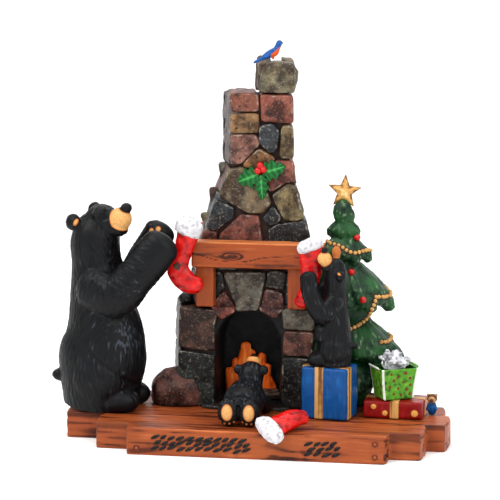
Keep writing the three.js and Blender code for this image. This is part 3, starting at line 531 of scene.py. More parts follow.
def board_shell(left, right, front, back):
    y = lambda share: front + share * (back - front)
    outline = [
        (left + 1.6, y(0)), (right - 1.6, y(0)), (right - 0.4, y(0.25)), (right, y(0.7)), (right - 1.6, y(1)),
        (left + 1.6, y(1)), (left, y(0.75)), (left + 0.5, y(0.3)),
    ]
    outline = [(a, b + (-OVERLAP if b < (front + back) / 2 else OVERLAP)) for a, b in outline]
    return prism(outline, DECK_TOP, 0)


def grain(v, n):
    """Relief of old boards: long grooves along X, and level cracks where a face looks along X."""
    board = np.digitize(v[:, 1], [b[3] for b in BOARDS[:-1]])
    shifted = v + board[:, None] * np.array([37.0, 0, 11])
    warp = np.stack([np.zeros(len(v)), noise(shifted, (26, 9, 9)), noise(shifted, (26, 9, 9), 5)], -1) * 1.6
    q = shifted + warp
    lines = noise(q, (34, 2.3, 2.3)) + 0.5 * noise(q, (20, 1.1, 1.1), 3)
    ends = step(np.abs(n[:, 0]), 0.35, 0.8)
    cracks = noise(shifted, (9, 7, 1.5), 9)
    cracks = np.where(cracks < -0.25, 1.7 * (cracks + 0.25), 0)
    lines = lines * (1 - ends) + cracks * 2 * ends
    knots = noise(shifted, (10, 5, 5), 21)
    deep = np.where(lines < -0.3, lines + 0.3, 0) * 1.2
    return 0.16 * lines + 0.5 * deep + 0.12 * noise(shifted, 7, 2), lines + 0.6 * deep - 0.5 * step(knots, 0.55,
        0.8)


def deck():
    v, f = skin([board_shell(*b) for b in BOARDS], 0.8, 3)
    n = normals(v, f)
    height, relief = grain(v, n)
    front = step(-n[:, 1], 0.7, 0.95) * step(v[:, 1], DECK_FRONT + 1, DECK_FRONT + 0.2)
    height = height * (1 - 0.6 * front)
    under = step(-n[:, 2], 0.5, 0.9)
    height = height * (1 - under) - 0.05
    seams = np.zeros(len(v))
    for b in BOARDS[:-1]:
        seams = np.maximum(seams, np.exp(-(((v[:, 1] - b[3]) / 0.8) ** 2)))
    relief = relief - 1.2 * seams * step(v[:, 2], 8, 14)
    v = pressed(v, f, height)
    ground(v, 0)
    piece("deck", v, f, "wood", "base", relief=relief)


NAILS = ((-58, 3.9), (72.4, 4), (72.4, 11.2))
# Radius of a nail head's profile and how far it stands before the front board
NAIL_PROFILE = ((1.9, -1), (1.9, 0.4), (1.8, 0.75), (1.5, 0.85), (1.35, 0.5), (1.1, 0.5), (0.9, 0.8), (0.3, 0.9))


def nail_heads():
    a = np.linspace(0, 2 * math.pi, 28, endpoint=False)
    heads = []
    for x, z in NAILS:
        ring = np.array([
            [x + r * math.cos(t), DECK_FRONT - proud, z + r * math.sin(t)] for r, proud in NAIL_PROFILE for t in a
        ])
        heads.append((ring, capped(len(NAIL_PROFILE), len(a))))
    v, f = joined(heads)
    rim = np.min([np.hypot(v[:, 0] - x, v[:, 2] - z) for x, z in NAILS], axis=0)
    relief = -1.4 * np.exp(-(((rim - 1.25) / 0.25) ** 2)) - 0.3 * (rim > 1.8)
    piece("nail_heads", v, f, "wood", "base", relief=relief)


deck()
nail_heads()

# Figures, in hundredths of their own height


class Figure:
    """Turns a figure's own hundredths into places and sizes in mm. k is the length of one of them."""

    def __init__(self, foot, k, turn=np.eye(3)):
        self.foot, self.k, self.turn = np.array(foot, float), k, turn

    def at(self, x, y, z):
        return self.foot + self.k * (self.turn @ np.array([x, y, z], float))

    def limb(self, rows, **options):
        return limb([[*self.at(*s[:3]), self.k * s[3], self.k * s[4]] for s in rows], **options)

    def lump(self, centre, radii, tilt=(0, 0, 0)):
        return ellipsoid(self.at(*centre), self.k * np.array(radii), tilt)

    def inside(self, v, centre, radii, tilt=(0, 0, 0)):
        return inside(v, self.at(*centre), self.k * np.array(radii), tilt)

    def rise(self, v, axis, low, high):
        """A step between two of the figure's own levels along an axis."""
        return step(v[:, axis], self.foot[axis] + self.k * low, self.foot[axis] + self.k * high)

    def body(self, shape, voxel, smooth, **trunk):
        """One skin round the trunk, limbs and lumps of a shape, on its own floor."""
        shells = [self.limb(shape["trunk"], **trunk)] + [self.limb(s) for s in shape["limbs"]]
        v, f = skin(shells + [self.lump(*x) for x in shape["lumps"]], voxel, smooth)
        ground(v, self.foot[2])
        return v, f


CELL, LONG = 9.0, 9


def fur(v, flow_at, bare, wide, depth):
    """Relief of locks that follow flow_at(v), each cell of space with its own straight direction.

    Locks are wide mm across and LONG times as long, and blend from one cell's corners to the next.
    """
    total = np.zeros(len(v))
    weight = np.zeros(len(v))
    base = np.floor(v / CELL)
    for dx in (0, 1):
        for dy in (0, 1):
            for dz in (0, 1):
                corner = (base + (dx, dy, dz)) * CELL
                share = np.prod(1 - np.abs(v - corner) / CELL, axis=1) ** 1.5
                direction = unit(flow_at(corner) + 1e-6)
                q = v - corner
                along = np.sum(q * direction, axis=1, keepdims=True)
                squeezed = (q - along * direction) / wide + along * direction / (wide * LONG)
                total += share * noise(squeezed + corner * 0.37)
                weight += share
    locks = np.clip(total / np.maximum(weight, 1e-6) * 1.5, -1, 1)
    return locks * depth * bare, locks * bare


def along_path(p, points):
    """How far each point of a plane lies from a line through the given ones."""
    out = np.full(len(p), np.inf)
    for a, b in zip(np.array(points[:-1], float), np.array(points[1:], float)):
        t = np.clip((p - a) @ (b - a) / ((b - a) @ (b - a)), 0, 1)
        out = np.minimum(out, np.linalg.norm(p - a - t[:, None] * (b - a), axis=1))
    return out


BIG = {
    "trunk": [
        [-1.1, 0, 0, 16.9, 16.4], [0.4, 0, 11, 19.7, 18], [1.6, 0, 25, 21.8, 18.8], [2.8, 0, 37.3, 19.4, 17],
        [1.6, 0, 49.5, 16.4, 14.8], [0.4, 0, 61.7, 14.4, 13.5], [-1, 0, 72.2, 12.4, 12], [-1.7, 0, 81, 12.1, 12],
        [-0.4, 0, 87.5, 11.4, 11.2], [1.7, 0, 92, 8.8, 8.8],
    ],
    "limbs": [
        [[-1.7, -9.5, 61, 10.5, 7], [11, -12.5, 57.5, 11, 7], [21, -12.8, 67, 9.6, 6.4], [29.2, -12, 77, 9.9, 6.4],
         [33.6, -11.6, 82.6, 9.4, 6]],
        [[0, 8, 62, 10, 7], [13.5, 10.5, 61, 9.6, 6.4], [22, 9.8, 74, 8.8, 6], [29, 8.2, 86.4, 7.8, 5]],
    ],
    "lumps": [
        ((11.6, -9.6, 5.0), (10.8, 7.8, 6.6)), ((13, 9.4, 5.0), (10.6, 7.6, 6.6)),
        ((2, -9.5, 17), (15, 10.4, 17)), ((2, 9.5, 17), (15, 10.4, 17)),
        ((-19.4, -2.5, 15.6), (4.2, 3.2, 3.2)), ((-17, -2.5, 16), (4.5, 3.4, 3.4)),
        ((12.2, -4.4, 94.3), (5.6, 5.6, 5.7)), ((8, -3, 89.6), (6, 5.8, 4.8)), ((6, -3.4, 93), (6, 6, 6)),
        ((15.3, -5.4, 99.8), (2.9, 3, 2.6)),
        ((2.4, -4.6, 96.4), (4.2, 5.6, 4.4)), ((10.4, -4.2, 89.4), (5.6, 5, 4.0)),
        ((-11, -6.8, 92.4), (4.1, 3, 4.2), (0, 10, -24)),
        ((-3.4, 7.6, 96.6), (4, 2.8, 4), (0, 20, -24)),
    ],
}


# Painted highlights where the light catches the near side: place, size in mm, share
SHEEN = ((16, 36, 7, 0.75), (0, 24, 7, 0.5), (17, 6, 5, 0.5), (20, 62, 7, 0.35), (30, 78, 6, 0.3))


def big_bear():
    own = Figure((-90, 6.5, STAND), 1.14)
    v, f = own.body(BIG, 0.64, 5, domes=(0, 1), sides=40)
    muzzle = own.inside(v, (12.9, -5, 94.4), (6.3, 7, 6.2))
    nose = own.inside(v, (15.4, -5.4, 100.2), (3.5, 3.8, 3.0))
    ear = own.inside(v, (-8.9, -9.4, 92.8), (1.0, 1.6, 2.0), (0, 24, -24))
    pads = [inside(v, own.at(25.7 + 3.4 * i, 3.6, 87.6 + 0.9 * i), (1.5, 3.2, 1.5)) for i in range(2)]
    tan = np.maximum.reduce([np.minimum(muzzle, -nose), ear, *pads])

    def flow(p):
        down = np.zeros_like(p)
        down[:, 2] = -1
        q = (p - own.at(2, 0, 40)) / own.k
        down[:, 0] = 0.5 * np.sin(q[:, 2] / 13 + q[:, 1] / 9) + 0.02 * q[:, 0]
        down[:, 1] = 0.25 * np.sin(q[:, 2] / 9 + q[:, 0] / 8)
        share = own.rise(p, 0, 5, 13) * own.rise(p, 2, 52, 58)
        share = share * own.rise(p, 0, 36, 30)
        across = np.stack([np.full(len(p), 1.0), 0.3 * np.sign(p[:, 1] - own.foot[1]), np.full(len(p), -0.25)], -1)
        return down * (1 - share[:, None]) + across * share[:, None]

    bare = 1 - np.maximum(step(muzzle, -1.2, 0.2), step(nose, -1, 0))
    bare *= 1 - 0.85 * own.rise(v, 0, 27, 31) * own.rise(v, 2, 66, 72)
    bare *= 1 - 0.8 * step(v[:, 2], STAND + 13, STAND + 9) * own.rise(v, 0, 8, 12)
    height, relief = fur(v, flow, bare, 1.05, 0.34)
    socket = own.inside(v, (4.6, -9.6, 95.4), (2.6, 2.2, 1.6))
    height -= 0.7 * step(socket, -0.8, 0.6)
    relief -= 0.8 * step(socket, -0.4, 0.6) + 0.8 * np.exp(-((muzzle / 0.5) ** 2)) * (nose < -0.3)
    for i in range(4):
        claw = v[:, 1] - own.at(0, -17 + 3.9 * i, 0)[1]
        toe = own.rise(v, 0, 17, 20) * step(v[:, 2], STAND + 11, STAND + 8)
        height -= 0.55 * toe * np.exp(-((claw / 0.5) ** 2))
    near = step(v[:, 1], own.foot[1], own.foot[1] - 4)
    crease = along_path(v[:, [0, 2]], [(-92, 52), (-85, 44.5), (-75, 37), (-67, 30.6)])
    height -= 0.7 * near * np.exp(-((crease / 1.2) ** 2))
    relief -= 0.7 * near * np.exp(-((crease / 1.1) ** 2))
    sheen = 0.0
    for x, z, size, share in SHEEN:
        spot = np.hypot(v[:, 0] - own.at(x, 0, z)[0], 0.6 * (v[:, 2] - own.at(x, 0, z)[2])) / size
        sheen = sheen + share * near * np.exp(-(spot**2))
    v = pressed(v, f, height)
    ground(v, STAND)
    # The sheen spots raise "relief", which paints highlights on the near side of the fur.
    piece("big_bear_fur", v, f, "fur", "big_bear", relief=relief + sheen * (0.4 + 0.6 * bare) - 0.15, tan=tan)


big_bear()

SMALL = {
    "trunk": [
        [-1.6, 0, 0, 13.8, 12.6], [-1.6, 0, 11.7, 14.8, 13.2], [-1.4, 0, 25.3, 14, 12.8], [-0.9, 0, 40.5, 11.6, 12],
        [-1.2, 0, 55.6, 9.8, 10.6], [-1.4, 0, 66, 9.2, 9.6], [-0.6, 0, 75.6, 9.8, 10], [-0.6, -1, 82.6, 7.8, 8],
    ],
    "limbs": [
        [[0, -8, 55.6, 7.6, 5.5], [-10.5, -12.2, 44.5, 8, 5.5], [-19.4, -12.6, 61, 7.6, 5.3],
        [-22, -11.6, 75.6, 7.1, 5]],
        [[-1, 7, 54, 6.6, 5], [-8, 9.6, 46, 6.6, 5], [-14, 8.2, 64, 5.8, 4.6]],
    ],
    "lumps": [
        ((-14.4, -6.6, 4.8), (9.2, 6.6, 6)), ((-14.4, 6.6, 4.8), (9.2, 6.6, 6)),
        ((-1.4, -5.6, 13), (13, 9.4, 14.4)),
        ((-1.4, 5.6, 13), (13, 9.4, 14.4)), ((-9.6, -6.4, 27), (8.4, 7, 9.6)),
        ((13.6, -1.5, 17.4), (5.4, 3.2, 2.6)),
        ((-9, -7.4, 90.6), (6, 6, 5.8)), ((-6, -5, 86), (6, 6, 5)), ((-7, -5, 83), (5.6, 5.4, 4.4)),
        ((-8.8, -8.6, 98), (2.9, 3, 2.7)),
        ((-0.6, 3.4, 94), (3.9, 2.8, 6.2), (0, 0, 10)),
        ((5, -9, 76.4), (4.3, 3, 4.4), (0, -10, 30)),
    ],
}


def small_bear():
    own = Figure((45, 0.8, STAND + 29.3), 0.66)
    v, f = own.body(SMALL, 0.5, 4, domes=(0, 1))
    muzzle = own.inside(v, (-9.4, -8.6, 91), (7, 7.2, 6.8))
    nose = own.inside(v, (-8.8, -9, 98.6), (3.6, 3.8, 3.2))
    far_ear = own.inside(v, (-0.8, 1.4, 94.8), (4, 2.8, 6.4), (0, 0, 10))
    near_ear = own.inside(v, (3.4, -12, 79), (2.2, 2.2, 1.0), (0, 30, 0))
    tan = np.maximum.reduce([np.minimum(muzzle, -nose), np.minimum(far_ear, 0.12), near_ear])

    def flow(p):
        down = np.zeros_like(p)
        down[:, 2] = -1
        down[:, 0] = 0.35 * np.sin(p[:, 2] / 8 + p[:, 1] / 5)
        return down

    bare = 1 - np.maximum(step(muzzle, -0.8, 0.2), step(nose, -0.8, 0))
    height, relief = fur(v, flow, bare, 0.85, 0.24)
    v = pressed(v, f, height)
    ground(v, own.foot[2])
    piece("small_bear_fur", v, f, "fur", "small_bear", relief=relief, tan=tan)


small_bear()

CUB = {
    "trunk": [
        [0, -26, 19, 15, 15], [0, -17, 23, 23, 22], [0, 3, 25, 24, 23], [0, 20, 28, 19, 19], [0.4, 32, 38, 15, 15],
        [0.8, 36, 48, 16, 15],
    ],
    "limbs": [
        [[-17, 16, 20, 8.5, 8], [-21, 30, 10, 8, 7.5], [-17, 40, 7, 7.4, 6.6]],
        [[17, 16, 20, 8.5, 8], [21, 30, 10, 8, 7.5], [17, 40, 7, 7.4, 6.6]],
    ],
    "lumps": [
        ((-13, -42, 16.6), (13, 9.5, 17)), ((12.4, -42, 16.6), (13, 9.5, 17)), ((-1.5, -39, 29), (4, 4, 4)),
        ((1.8, 44, 60), (8.6, 8.4, 8.6)), ((-14.6, 34, 53), (5.8, 4.4, 6.2)), ((16.4, 34, 53), (5.8, 4.4, 6.2)),
        ((2.2, 47, 67.6), (4, 4, 3)),
    ],
}


def cub():
    own = Figure((-3.4, -12.5, STAND), 0.46)
    v, f = own.body(CUB, 0.5, 3, deep=(0, 0, 1))
    muzzle = own.inside(v, (2.2, 45, 61.5), (10, 9.6, 9.4))
    nose = own.inside(v, (2.2, 47, 68.6), (5.4, 5.4, 4.6))
    soles = [own.inside(v, (x, -50.4, 18), (6.8, 6, 10.2)) for x in (-13.4, 12.8)]
    toes = [
        inside(v, own.at(x + dx, -49, 3.4 + 1.3 * abs(dx) / 4), (0.75, 2.2, 0.75))
        for x in (-13.4, 12.8) for dx in (-8.4, -3, 3, 8.4)
    ]
    tan = np.maximum.reduce([np.minimum(muzzle, -nose), *soles, *toes])

    def flow(p):
        back = np.zeros_like(p)
        back[:, 1] = -1
        back[:, 2] = -0.7
        back[:, 0] = 0.03 * (p[:, 0] - own.foot[0])
        return back

    bare = 1 - np.maximum.reduce([step(muzzle, -0.6, 0.2), step(nose, -0.8, 0), *[step(s, -1.2, 0) for s in soles]])
    height, relief = fur(v, flow, bare, 0.8, 0.2)
    # Higher up the fur is painted a little lighter: a painted sheen on the cub's back and head, from 8 to 16 mm above
    # its floor.
    relief += 0.22 * step(v[:, 2], STAND + 8, STAND + 16) - 0.9 * np.exp(-((muzzle / 0.35) ** 2))
    v = pressed(v, f, height)
    ground(v, STAND)
    piece("cub_fur", v, f, "fur", "cub", relief=relief, tan=tan)


cub()

# Stonework

SKEW = (9, 6)
# Height, left, right, front and back of each tier's foot and top, and how far its back corners lie to the left
TIERS = {
    "foot": ((STAND, -47, 27, 15, 51), (LEDGE, -45.5, 31, 15, 51), SKEW),
    "lintel": ((LEDGE, -38.5, 28, 19.5, 51), (LINTEL_TOP, -35, 27, 19.5, 51), SKEW),
    "shoulder": ((LINTEL_TOP, -33.5, 27.8, 21.5, 50), (SHOULDER_TOP, -17.8, 18.4, 23.5, 49), SKEW),
    "stack": ((SHOULDER_TOP, -18.4, 17, 24, 49), (STACK_TOP, -18.4, 16.8, 24, 49), SKEW),
    "cap": ((STACK_TOP, -2.2, 17.8, 24.4, 46), (CAP_TOP, -1.8, 18.2, 25.6, 45), (5, 5)),
}
FIREBOX = {"centre": -7.2, "half": 18.5, "spring": STAND + 34, "top": 70.4, "back": 43}
HEARTH = {"left": -33, "right": 18, "front": 10, "top": STAND + 1.4}

RED, BRICK, PINK, OCHRE = (104, 50, 40), (126, 70, 56), (118, 80, 70), (132, 98, 62)
TAN, OLIVE, GREY, LILAC = (104, 88, 66), (108, 100, 78), (92, 86, 74), (92, 82, 80)
SLATE, DARK, GREEN, BROWN = (44, 48, 52), (32, 33, 34), (26, 32, 30), (80, 52, 40)


def corners_at(tier, z):
    """The four corners of a tier at a height: front left, front right, back right, back left."""
    low, high, skew = TIERS[tier]
    t = (np.asarray(z, float) - low[0]) / (high[0] - low[0])
    left, right, front, back = ((1 - t) * low[i] + t * high[i] for i in range(1, 5))
    return (
        np.stack([left, front], -1), np.stack([right, front], -1),
        np.stack([right - skew[1], back], -1), np.stack([left - skew[0], back], -1),
    )


SIDES = {"front": (0, 1), "right": (1, 2), "back": (2, 3), "left": (3, 0)}


def on_side(tier, side):
    """Turns points (mm along the side from its own left end, height) into places in space."""

    def place(p):
        along, z = p[:, 0], p[:, 1]
        corner = corners_at(tier, z)
        start, end = corner[SIDES[side][0]], corner[SIDES[side][1]]
        spot = start + unit(end - start) * along[:, None]
        return np.column_stack([spot, z])

    return place


def on_front(p):
    y = np.interp(p[:, 1], [15, 72.3, 72.4, 107.3, 107.4, 150.3, 190.8, 210],
        [15, 15, 19.5, 19.5, 21.5, 23.5, 24, 25])
    return np.column_stack([p[:, 0], y, p[:, 1]])


def edge_distance(poly, centre, count):
    """The outline's distance from the centre in each of count directions, its corners softened."""
    a = np.linspace(0, 2 * math.pi, count, endpoint=False)
    ray = np.stack([np.cos(a), np.sin(a)], -1)
    reach = np.full(count, np.inf)
    for p, q in zip(poly, np.roll(poly, -1, 0)):
        e, w = q - p, p - centre
        den = ray[:, 0] * e[1] - ray[:, 1] * e[0]
        den = np.where(np.abs(den) < 1e-9, 1e-9, den)
        r = (w[0] * e[1] - w[1] * e[0]) / den
        s = (w[0] * ray[:, 1] - w[1] * ray[:, 0]) / den
        reach = np.where((s > -1e-6) & (s < 1 + 1e-6) & (r > 0), np.minimum(reach, r), reach)
    return ray, (np.roll(reach, 1) + 2 * reach + np.roll(reach, -1)) / 4


STONES = []


def block(poly, place, inward, deep, tint, proud=0.0, edge=1.5, gap=-0.4, fine=1.0):
    """One weathered stone: an outline on a wall, its face pillowed and pitted, its sides running into the wall."""
    seed = 3.7 * len(STONES)
    poly = np.asarray(poly, float)
    centre = poly.mean(0)
    around = int(np.clip(np.linalg.norm(poly - np.roll(poly, -1, 0), axis=1).sum() / (0.95 * fine), 26, 110))
    ray, reach = edge_distance(poly, centre, around)
    reach = reach - gap
    mean = reach.mean()
    rings = [0, 0.25, 0.7, 1.3, 2.1]
    while rings[-1] + 1.1 * fine < mean:
        rings.append(rings[-1] + 1.1 * fine)
    share = np.clip(1 - np.array(rings + [mean * 0.97]) / mean, 0.02, 1)
    flat = (centre + share[:, None, None] * reach[None, :, None] * ray[None]).reshape(-1, 2)
    spot = place(flat)
    probe = place(np.array([centre, centre + [0.5, 0], centre + [0, 0.5]]))
    out = unit(np.cross(probe[1] - probe[0], probe[2] - probe[0]))
    inward = np.asarray(inward, float)
    if out @ inward > 0:
        out = -out
    e = ((1 - share)[:, None] * reach[None]).ravel()
    gone = np.clip(edge - e, 0, edge)
    drop = edge - np.sqrt(np.maximum(edge**2 - gone**2, 0))
    pits = np.clip(noise(spot, 1.9, seed) - 0.52, 0, 1) + 0.5 * np.clip(noise(spot, 4.2, seed + 3) - 0.6, 0, 1)
    lumps = 0.7 * noise(spot, 10, seed) + 0.4 * noise(spot, 4.4, seed + 1) + 0.2 * noise(spot, 1.8, seed + 2)
    face = spot + out * (proud - drop + lumps - 1.3 * pits)[:, None]
    relief = 0.95 * np.exp(-(((e - 0.9) / 0.9) ** 2)) + 0.5 * noise(spot, 2.6,
        seed + 4) + 0.5 * lumps - 2.2 * pits - 0.1
    rim = spot[:around] + out * (proud - edge)
    steps = np.linspace(0, 1, max(3, int(deep / 2.6)))[1:]
    wall = np.concatenate([rim + inward * deep * s for s in steps[::-1]])
    away = unit(rim - rim.mean(0))
    rough = 0.55 * noise(wall, 6, seed) + 0.35 * noise(wall, 2.4, seed + 2)
    wall = wall + np.tile(away, (len(steps), 1)) * rough[:, None]
    wall_relief = 0.55 * noise(wall, 3.2, seed + 6) - 0.35
    v = np.vstack([wall, face])
    f = capped(len(steps) + len(share), around)
    if np.cross(v[f[0][1]] - v[f[0][0]], v[f[0][3]] - v[f[0][0]]) @ away[0] < 0:
        f = [face[::-1] for face in f]
    relief = np.concatenate([wall_relief, relief])
    hue = np.array(srgb(*tint))
    shade = 1 + 0.22 * noise(v, 9, seed + 8)[:, None] + np.array([[0.12, 0, -0.1]]) * noise(v, 5, seed + 9)[:, None]
    STONES.append((v, f, relief, np.clip(hue * shade, 0, 1)))


def rock(centre, radii, tint, tilt=(0, 0, 0), around=44, down=26, rough=1.0, floor=STAND):
    """A loose boulder."""
    seed = 3.7 * len(STONES)
    v, f = ellipsoid((0, 0, 0), (1, 1, 1), around=around, down=down)
    squared = v / (np.abs(v) ** 2.3).sum(1, keepdims=True) ** (1 / 2.3)
    v = squared * np.asarray(radii) @ turn_matrix(tilt).T + np.asarray(centre, float)
    n = unit(v - centre)
    lumps = 0.16 * min(radii) * noise(v, min(radii) * 0.9, seed) + 0.5 * noise(v, 4, seed + 1)
    pits = np.clip(noise(v, 2.4, seed) - 0.3, 0, 1)
    v = v + n * (rough * lumps - 0.9 * pits)[:, None]
    ground(v, floor)
    # Faces that look up are painted lighter and faces that look down darker: painted light on top, painted shade
    # underneath.
    relief = 0.7 * noise(v, 3, seed + 4) + 0.5 * lumps - 2 * pits + 0.35 * n[:, 2]
    hue = np.array(srgb(*tint))
    shade = 1 + 0.25 * noise(v, 9, seed + 8)[:, None]
    STONES.append((v, f, relief, np.clip(hue * shade, 0, 1)))


def front_stones():
    back_left, back_right = (-0.25, 1, 0), (-0.2, 1, 0)
    straight = (-0.12, 1, 0)
    wall = [
        ([(-45.6, 71.6), (-24.3, 70.2), (-25.9, 61.3), (-26.1, 47.2), (-46.6, 48.9), (-46, 62.7)], BROWN, 34,
        back_left, 0.4),
        ([(-46.8, 47), (-26.3, 44.6), (-26.4, 15.4), (-46.9, 15.4)], GREEN, 34, back_left, -0.3),
        ([(12.2, 73), (30.6, 72.4), (30.2, 60.6), (13.4, 60.8)], GREY, 30, back_right, 0.3),
        ([(13.6, 59.4), (30, 59.4), (29.6, 45.8), (12.9, 46)], (98, 58, 48), 30, back_right, 0.1),
        ([(12.7, 44.6), (29, 44.4), (27.6, 15.4), (11.9, 15.4)], DARK, 30, back_right, 0),
        ([(-21.9, 91.2), (2.6, 92), (-1.6, 71.2), (-13.4, 70.4)], GREY, 8, straight, 0.9),
        ([(-21.4, 81), (-14, 70.2), (-22.4, 65), (-27.6, 71.4), (-26.5, 75)], RED, 8, straight, 0.1),
        ([(2.1, 82.6), (12, 80.3), (12.8, 72), (8.8, 66.6), (-0.6, 71.2)], (78, 42, 38), 8, straight, 0.1),
        ([(-31, 91.6), (-22.6, 91.2), (-21, 82.4), (-27, 76), (-31.4, 75.6)], DARK, 8, straight, 0),
        ([(3.6, 92.6), (13.7, 92.6), (12.9, 81.8), (2.3, 84)], (50, 43, 40), 8, straight, 0),
        ([(-38.3, 91), (-31.8, 91), (-32, 74), (-38.6, 74)], BROWN, 8, straight, -0.2),
        ([(14.4, 92), (27.4, 92), (27.9, 74), (13.8, 74)], SLATE, 20, back_right, 0),
        ([(-37, 106.6), (-14, 106.6), (-14.6, 92.6), (-38, 92.6)], GREY, 8, straight, -0.8),
        ([(-12.6, 106.6), (10.4, 106.6), (9.6, 94), (-13, 94)], RED, 8, straight, -0.8),
        ([(12, 106.6), (26.6, 106.6), (27.2, 94), (11.4, 94)], GREY, 20, back_right, -0.6),
        ([(-33.4, 114), (-26.2, 113.8), (-26.4, 107.4), (-35.6, 107.4)], (92, 48, 38), 8, back_left, 0.2),
        ([(-12, 123.8), (-2.4, 123.2), (0, 107.6), (-25, 107.4), (-23.8, 112.6)], (112, 62, 52), 8, straight, 0.3),
        ([(-26.6, 132.2), (-15.9, 127.1), (-17, 121.4), (-26.3, 114.4), (-32, 115.6)], SLATE, 8, back_left, 0.3),
        ([(-19.4, 148.8), (-11.6, 149.9), (-0.2, 144.2), (5, 130.8), (0.3, 125.1), (-8.1, 124.9), (-24.8, 134.1),
          (-22, 141.3)], TAN, 8, straight, 0.9),
        ([(14.3, 141.6), (19.4, 139.3), (23.5, 122.6), (17.7, 120.9), (12.1, 121.8), (5.4, 134.8)], (108, 94, 62),
        18,
         back_right, 0.7),
        ([(5.9, 129.2), (10.2, 123.7), (9.7, 119.7), (3.6, 117.6), (0.2, 121.9)], SLATE, 8, straight, 0),
        ([(8.9, 118.9), (24.4, 121.4), (26.8, 111.3), (27, 107.5), (4.2, 107.6), (3.4, 116)], DARK, 18, back_right,
        0.2),
        ([(7.8, 154.4), (17, 153.9), (18.3, 143), (14.2, 142.6), (4, 136.2), (0.8, 148.4)], BRICK, 18, back_right,
        0.2),
        ([(-2.3, 160.9), (7.3, 155.7), (4.7, 152), (-0.8, 146.6), (-5.9, 148.8), (-12, 151.2)], (122, 84, 48), 8,
        straight,
         0.5),
        ([(-18.2, 168.2), (-4, 168.3), (-1.8, 163.3), (-11.9, 152.6), (-18.2, 151.3)], PINK, 8, back_left, 0.3),
        ([(-2, 173.4), (5.3, 174.8), (9.4, 170.7), (7.8, 160.3), (4.5, 158), (-2, 164)], SLATE, 8, straight, 0.5),
        ([(10.6, 173.4), (16.8, 174.2), (17.2, 155.6), (9.4, 155.8)], (120, 102, 68), 18, back_right, 0.2),
        ([(-18.2, 179.6), (-2.8, 180.2), (-2.4, 169.9), (-18.2, 169.1)], OCHRE, 8, back_left, 0.2),
        ([(-18.3, 191.4), (-3, 191.6), (-2.4, 181.8), (-18.2, 181.2)], (112, 66, 52), 24, back_left, 0.2),
        ([(-1.4, 190.6), (16.6, 190.6), (16.9, 175.4), (-0.8, 176.2)], BRICK, 24, back_right, 0.5),
    ]
    for poly, tint, deep, lean, proud in wall:
        block(poly, on_front, lean, deep, tint, proud)


def course(tier, side, rows, palette, seed, start=0.6, end=0.6, deep=7.0, lean=None, fine=1.5):
    """Plain coursed stones on a side that the picture doesn't show."""
    rng = np.random.default_rng(seed)
    place = on_side(tier, side)
    low, high = TIERS[tier][0][0], TIERS[tier][1][0]
    levels = np.linspace(low, high, rows + 1)
    for i in range(rows):
        z0, z1 = levels[i] + 0.5, levels[i + 1] - 0.5
        four = corners_at(tier, np.array([(z0 + z1) / 2]))
        a, b = four[SIDES[side][0]][0], four[SIDES[side][1]][0]
        length = np.linalg.norm(b - a)
        span = length - start - end
        count = max(1, int(round(span / rng.uniform(13, 19))))
        cuts = start + span * np.concatenate([[0],
            np.sort((np.arange(1, count) + rng.uniform(-0.2, 0.2, count - 1)) / count), [1]])
        towards = np.append(unit(np.array([b[1] - a[1], a[0] - b[0]])), 0)
        if towards[:2] @ (np.array([-4.0, 35.0]) - (a + b) / 2) < 0:
            towards = -towards
        if lean is not None:
            towards = np.array(lean, float)
        for u0, u1 in zip(cuts[:-1], cuts[1:]):
            j = rng.uniform(-0.7, 0.7, 8)
            poly = [(u0 + 0.5, z0 + j[0] / 2), (u1 - 0.5, z0 + j[1] / 2), (u1 - 0.5 + j[2], (z0 + z1) / 2 + j[3]),
                    (u1 - 0.5, z1 + j[4] / 2), (u0 + 0.5, z1 + j[5] / 2), (u0 + 0.5 + j[6], (z0 + z1) / 2 + j[7])]
            block(poly, place, towards, deep, palette[rng.integers(len(palette))], rng.uniform(-0.3, 0.4),
                fine=fine)


def side_stones():
    inward = (1, 0.1, 0)
    for tier, poly, tint in (
        ("stack", [(0.4, 190.2), (25.8, 190.2), (25.6, 151.6), (0.4, 151.4)], LILAC),
        ("shoulder", [(0.4, 149.6), (26, 149.6), (26.6, 135.8), (0.4, 135.6)], (98, 62, 56)),
        ("shoulder", [(0.4, 134.4), (27, 134.4), (28, 121.4), (0.4, 121.2)], SLATE),
        ("shoulder", [(0.4, 120), (28, 120), (29, 107.8), (0.4, 107.6)], BROWN),
        ("lintel", [(0.4, 106.4), (31, 106.4), (31.6, 90.4), (0.4, 90.2)], GREY),
        ("lintel", [(0.4, 88.8), (31.6, 88.8), (32, 73), (0.4, 72.8)], DARK),
    ):
        block(poly, on_side(tier, "left"), inward, 5, tint, 0.2, fine=1.2)
    plain = [BROWN, GREY, SLATE, RED, OLIVE, DARK, LILAC]
    for i, (tier, rows) in enumerate((("lintel", 2), ("shoulder", 3), ("stack", 3))):
        course(tier, "right", rows, plain, 30 + i, start=9.5 if tier == "lintel" else 19, end=5.5, deep=6)
    course("foot", "back", 4, [BROWN, DARK, SLATE, RED], 40, deep=6, lean=(0.24, -1, 0))
    for i, (tier, rows) in enumerate((("lintel", 2), ("shoulder", 3), ("stack", 3))):
        course(tier, "back", rows, plain, 50 + i, deep=6, lean=(0.24, -1, 0))


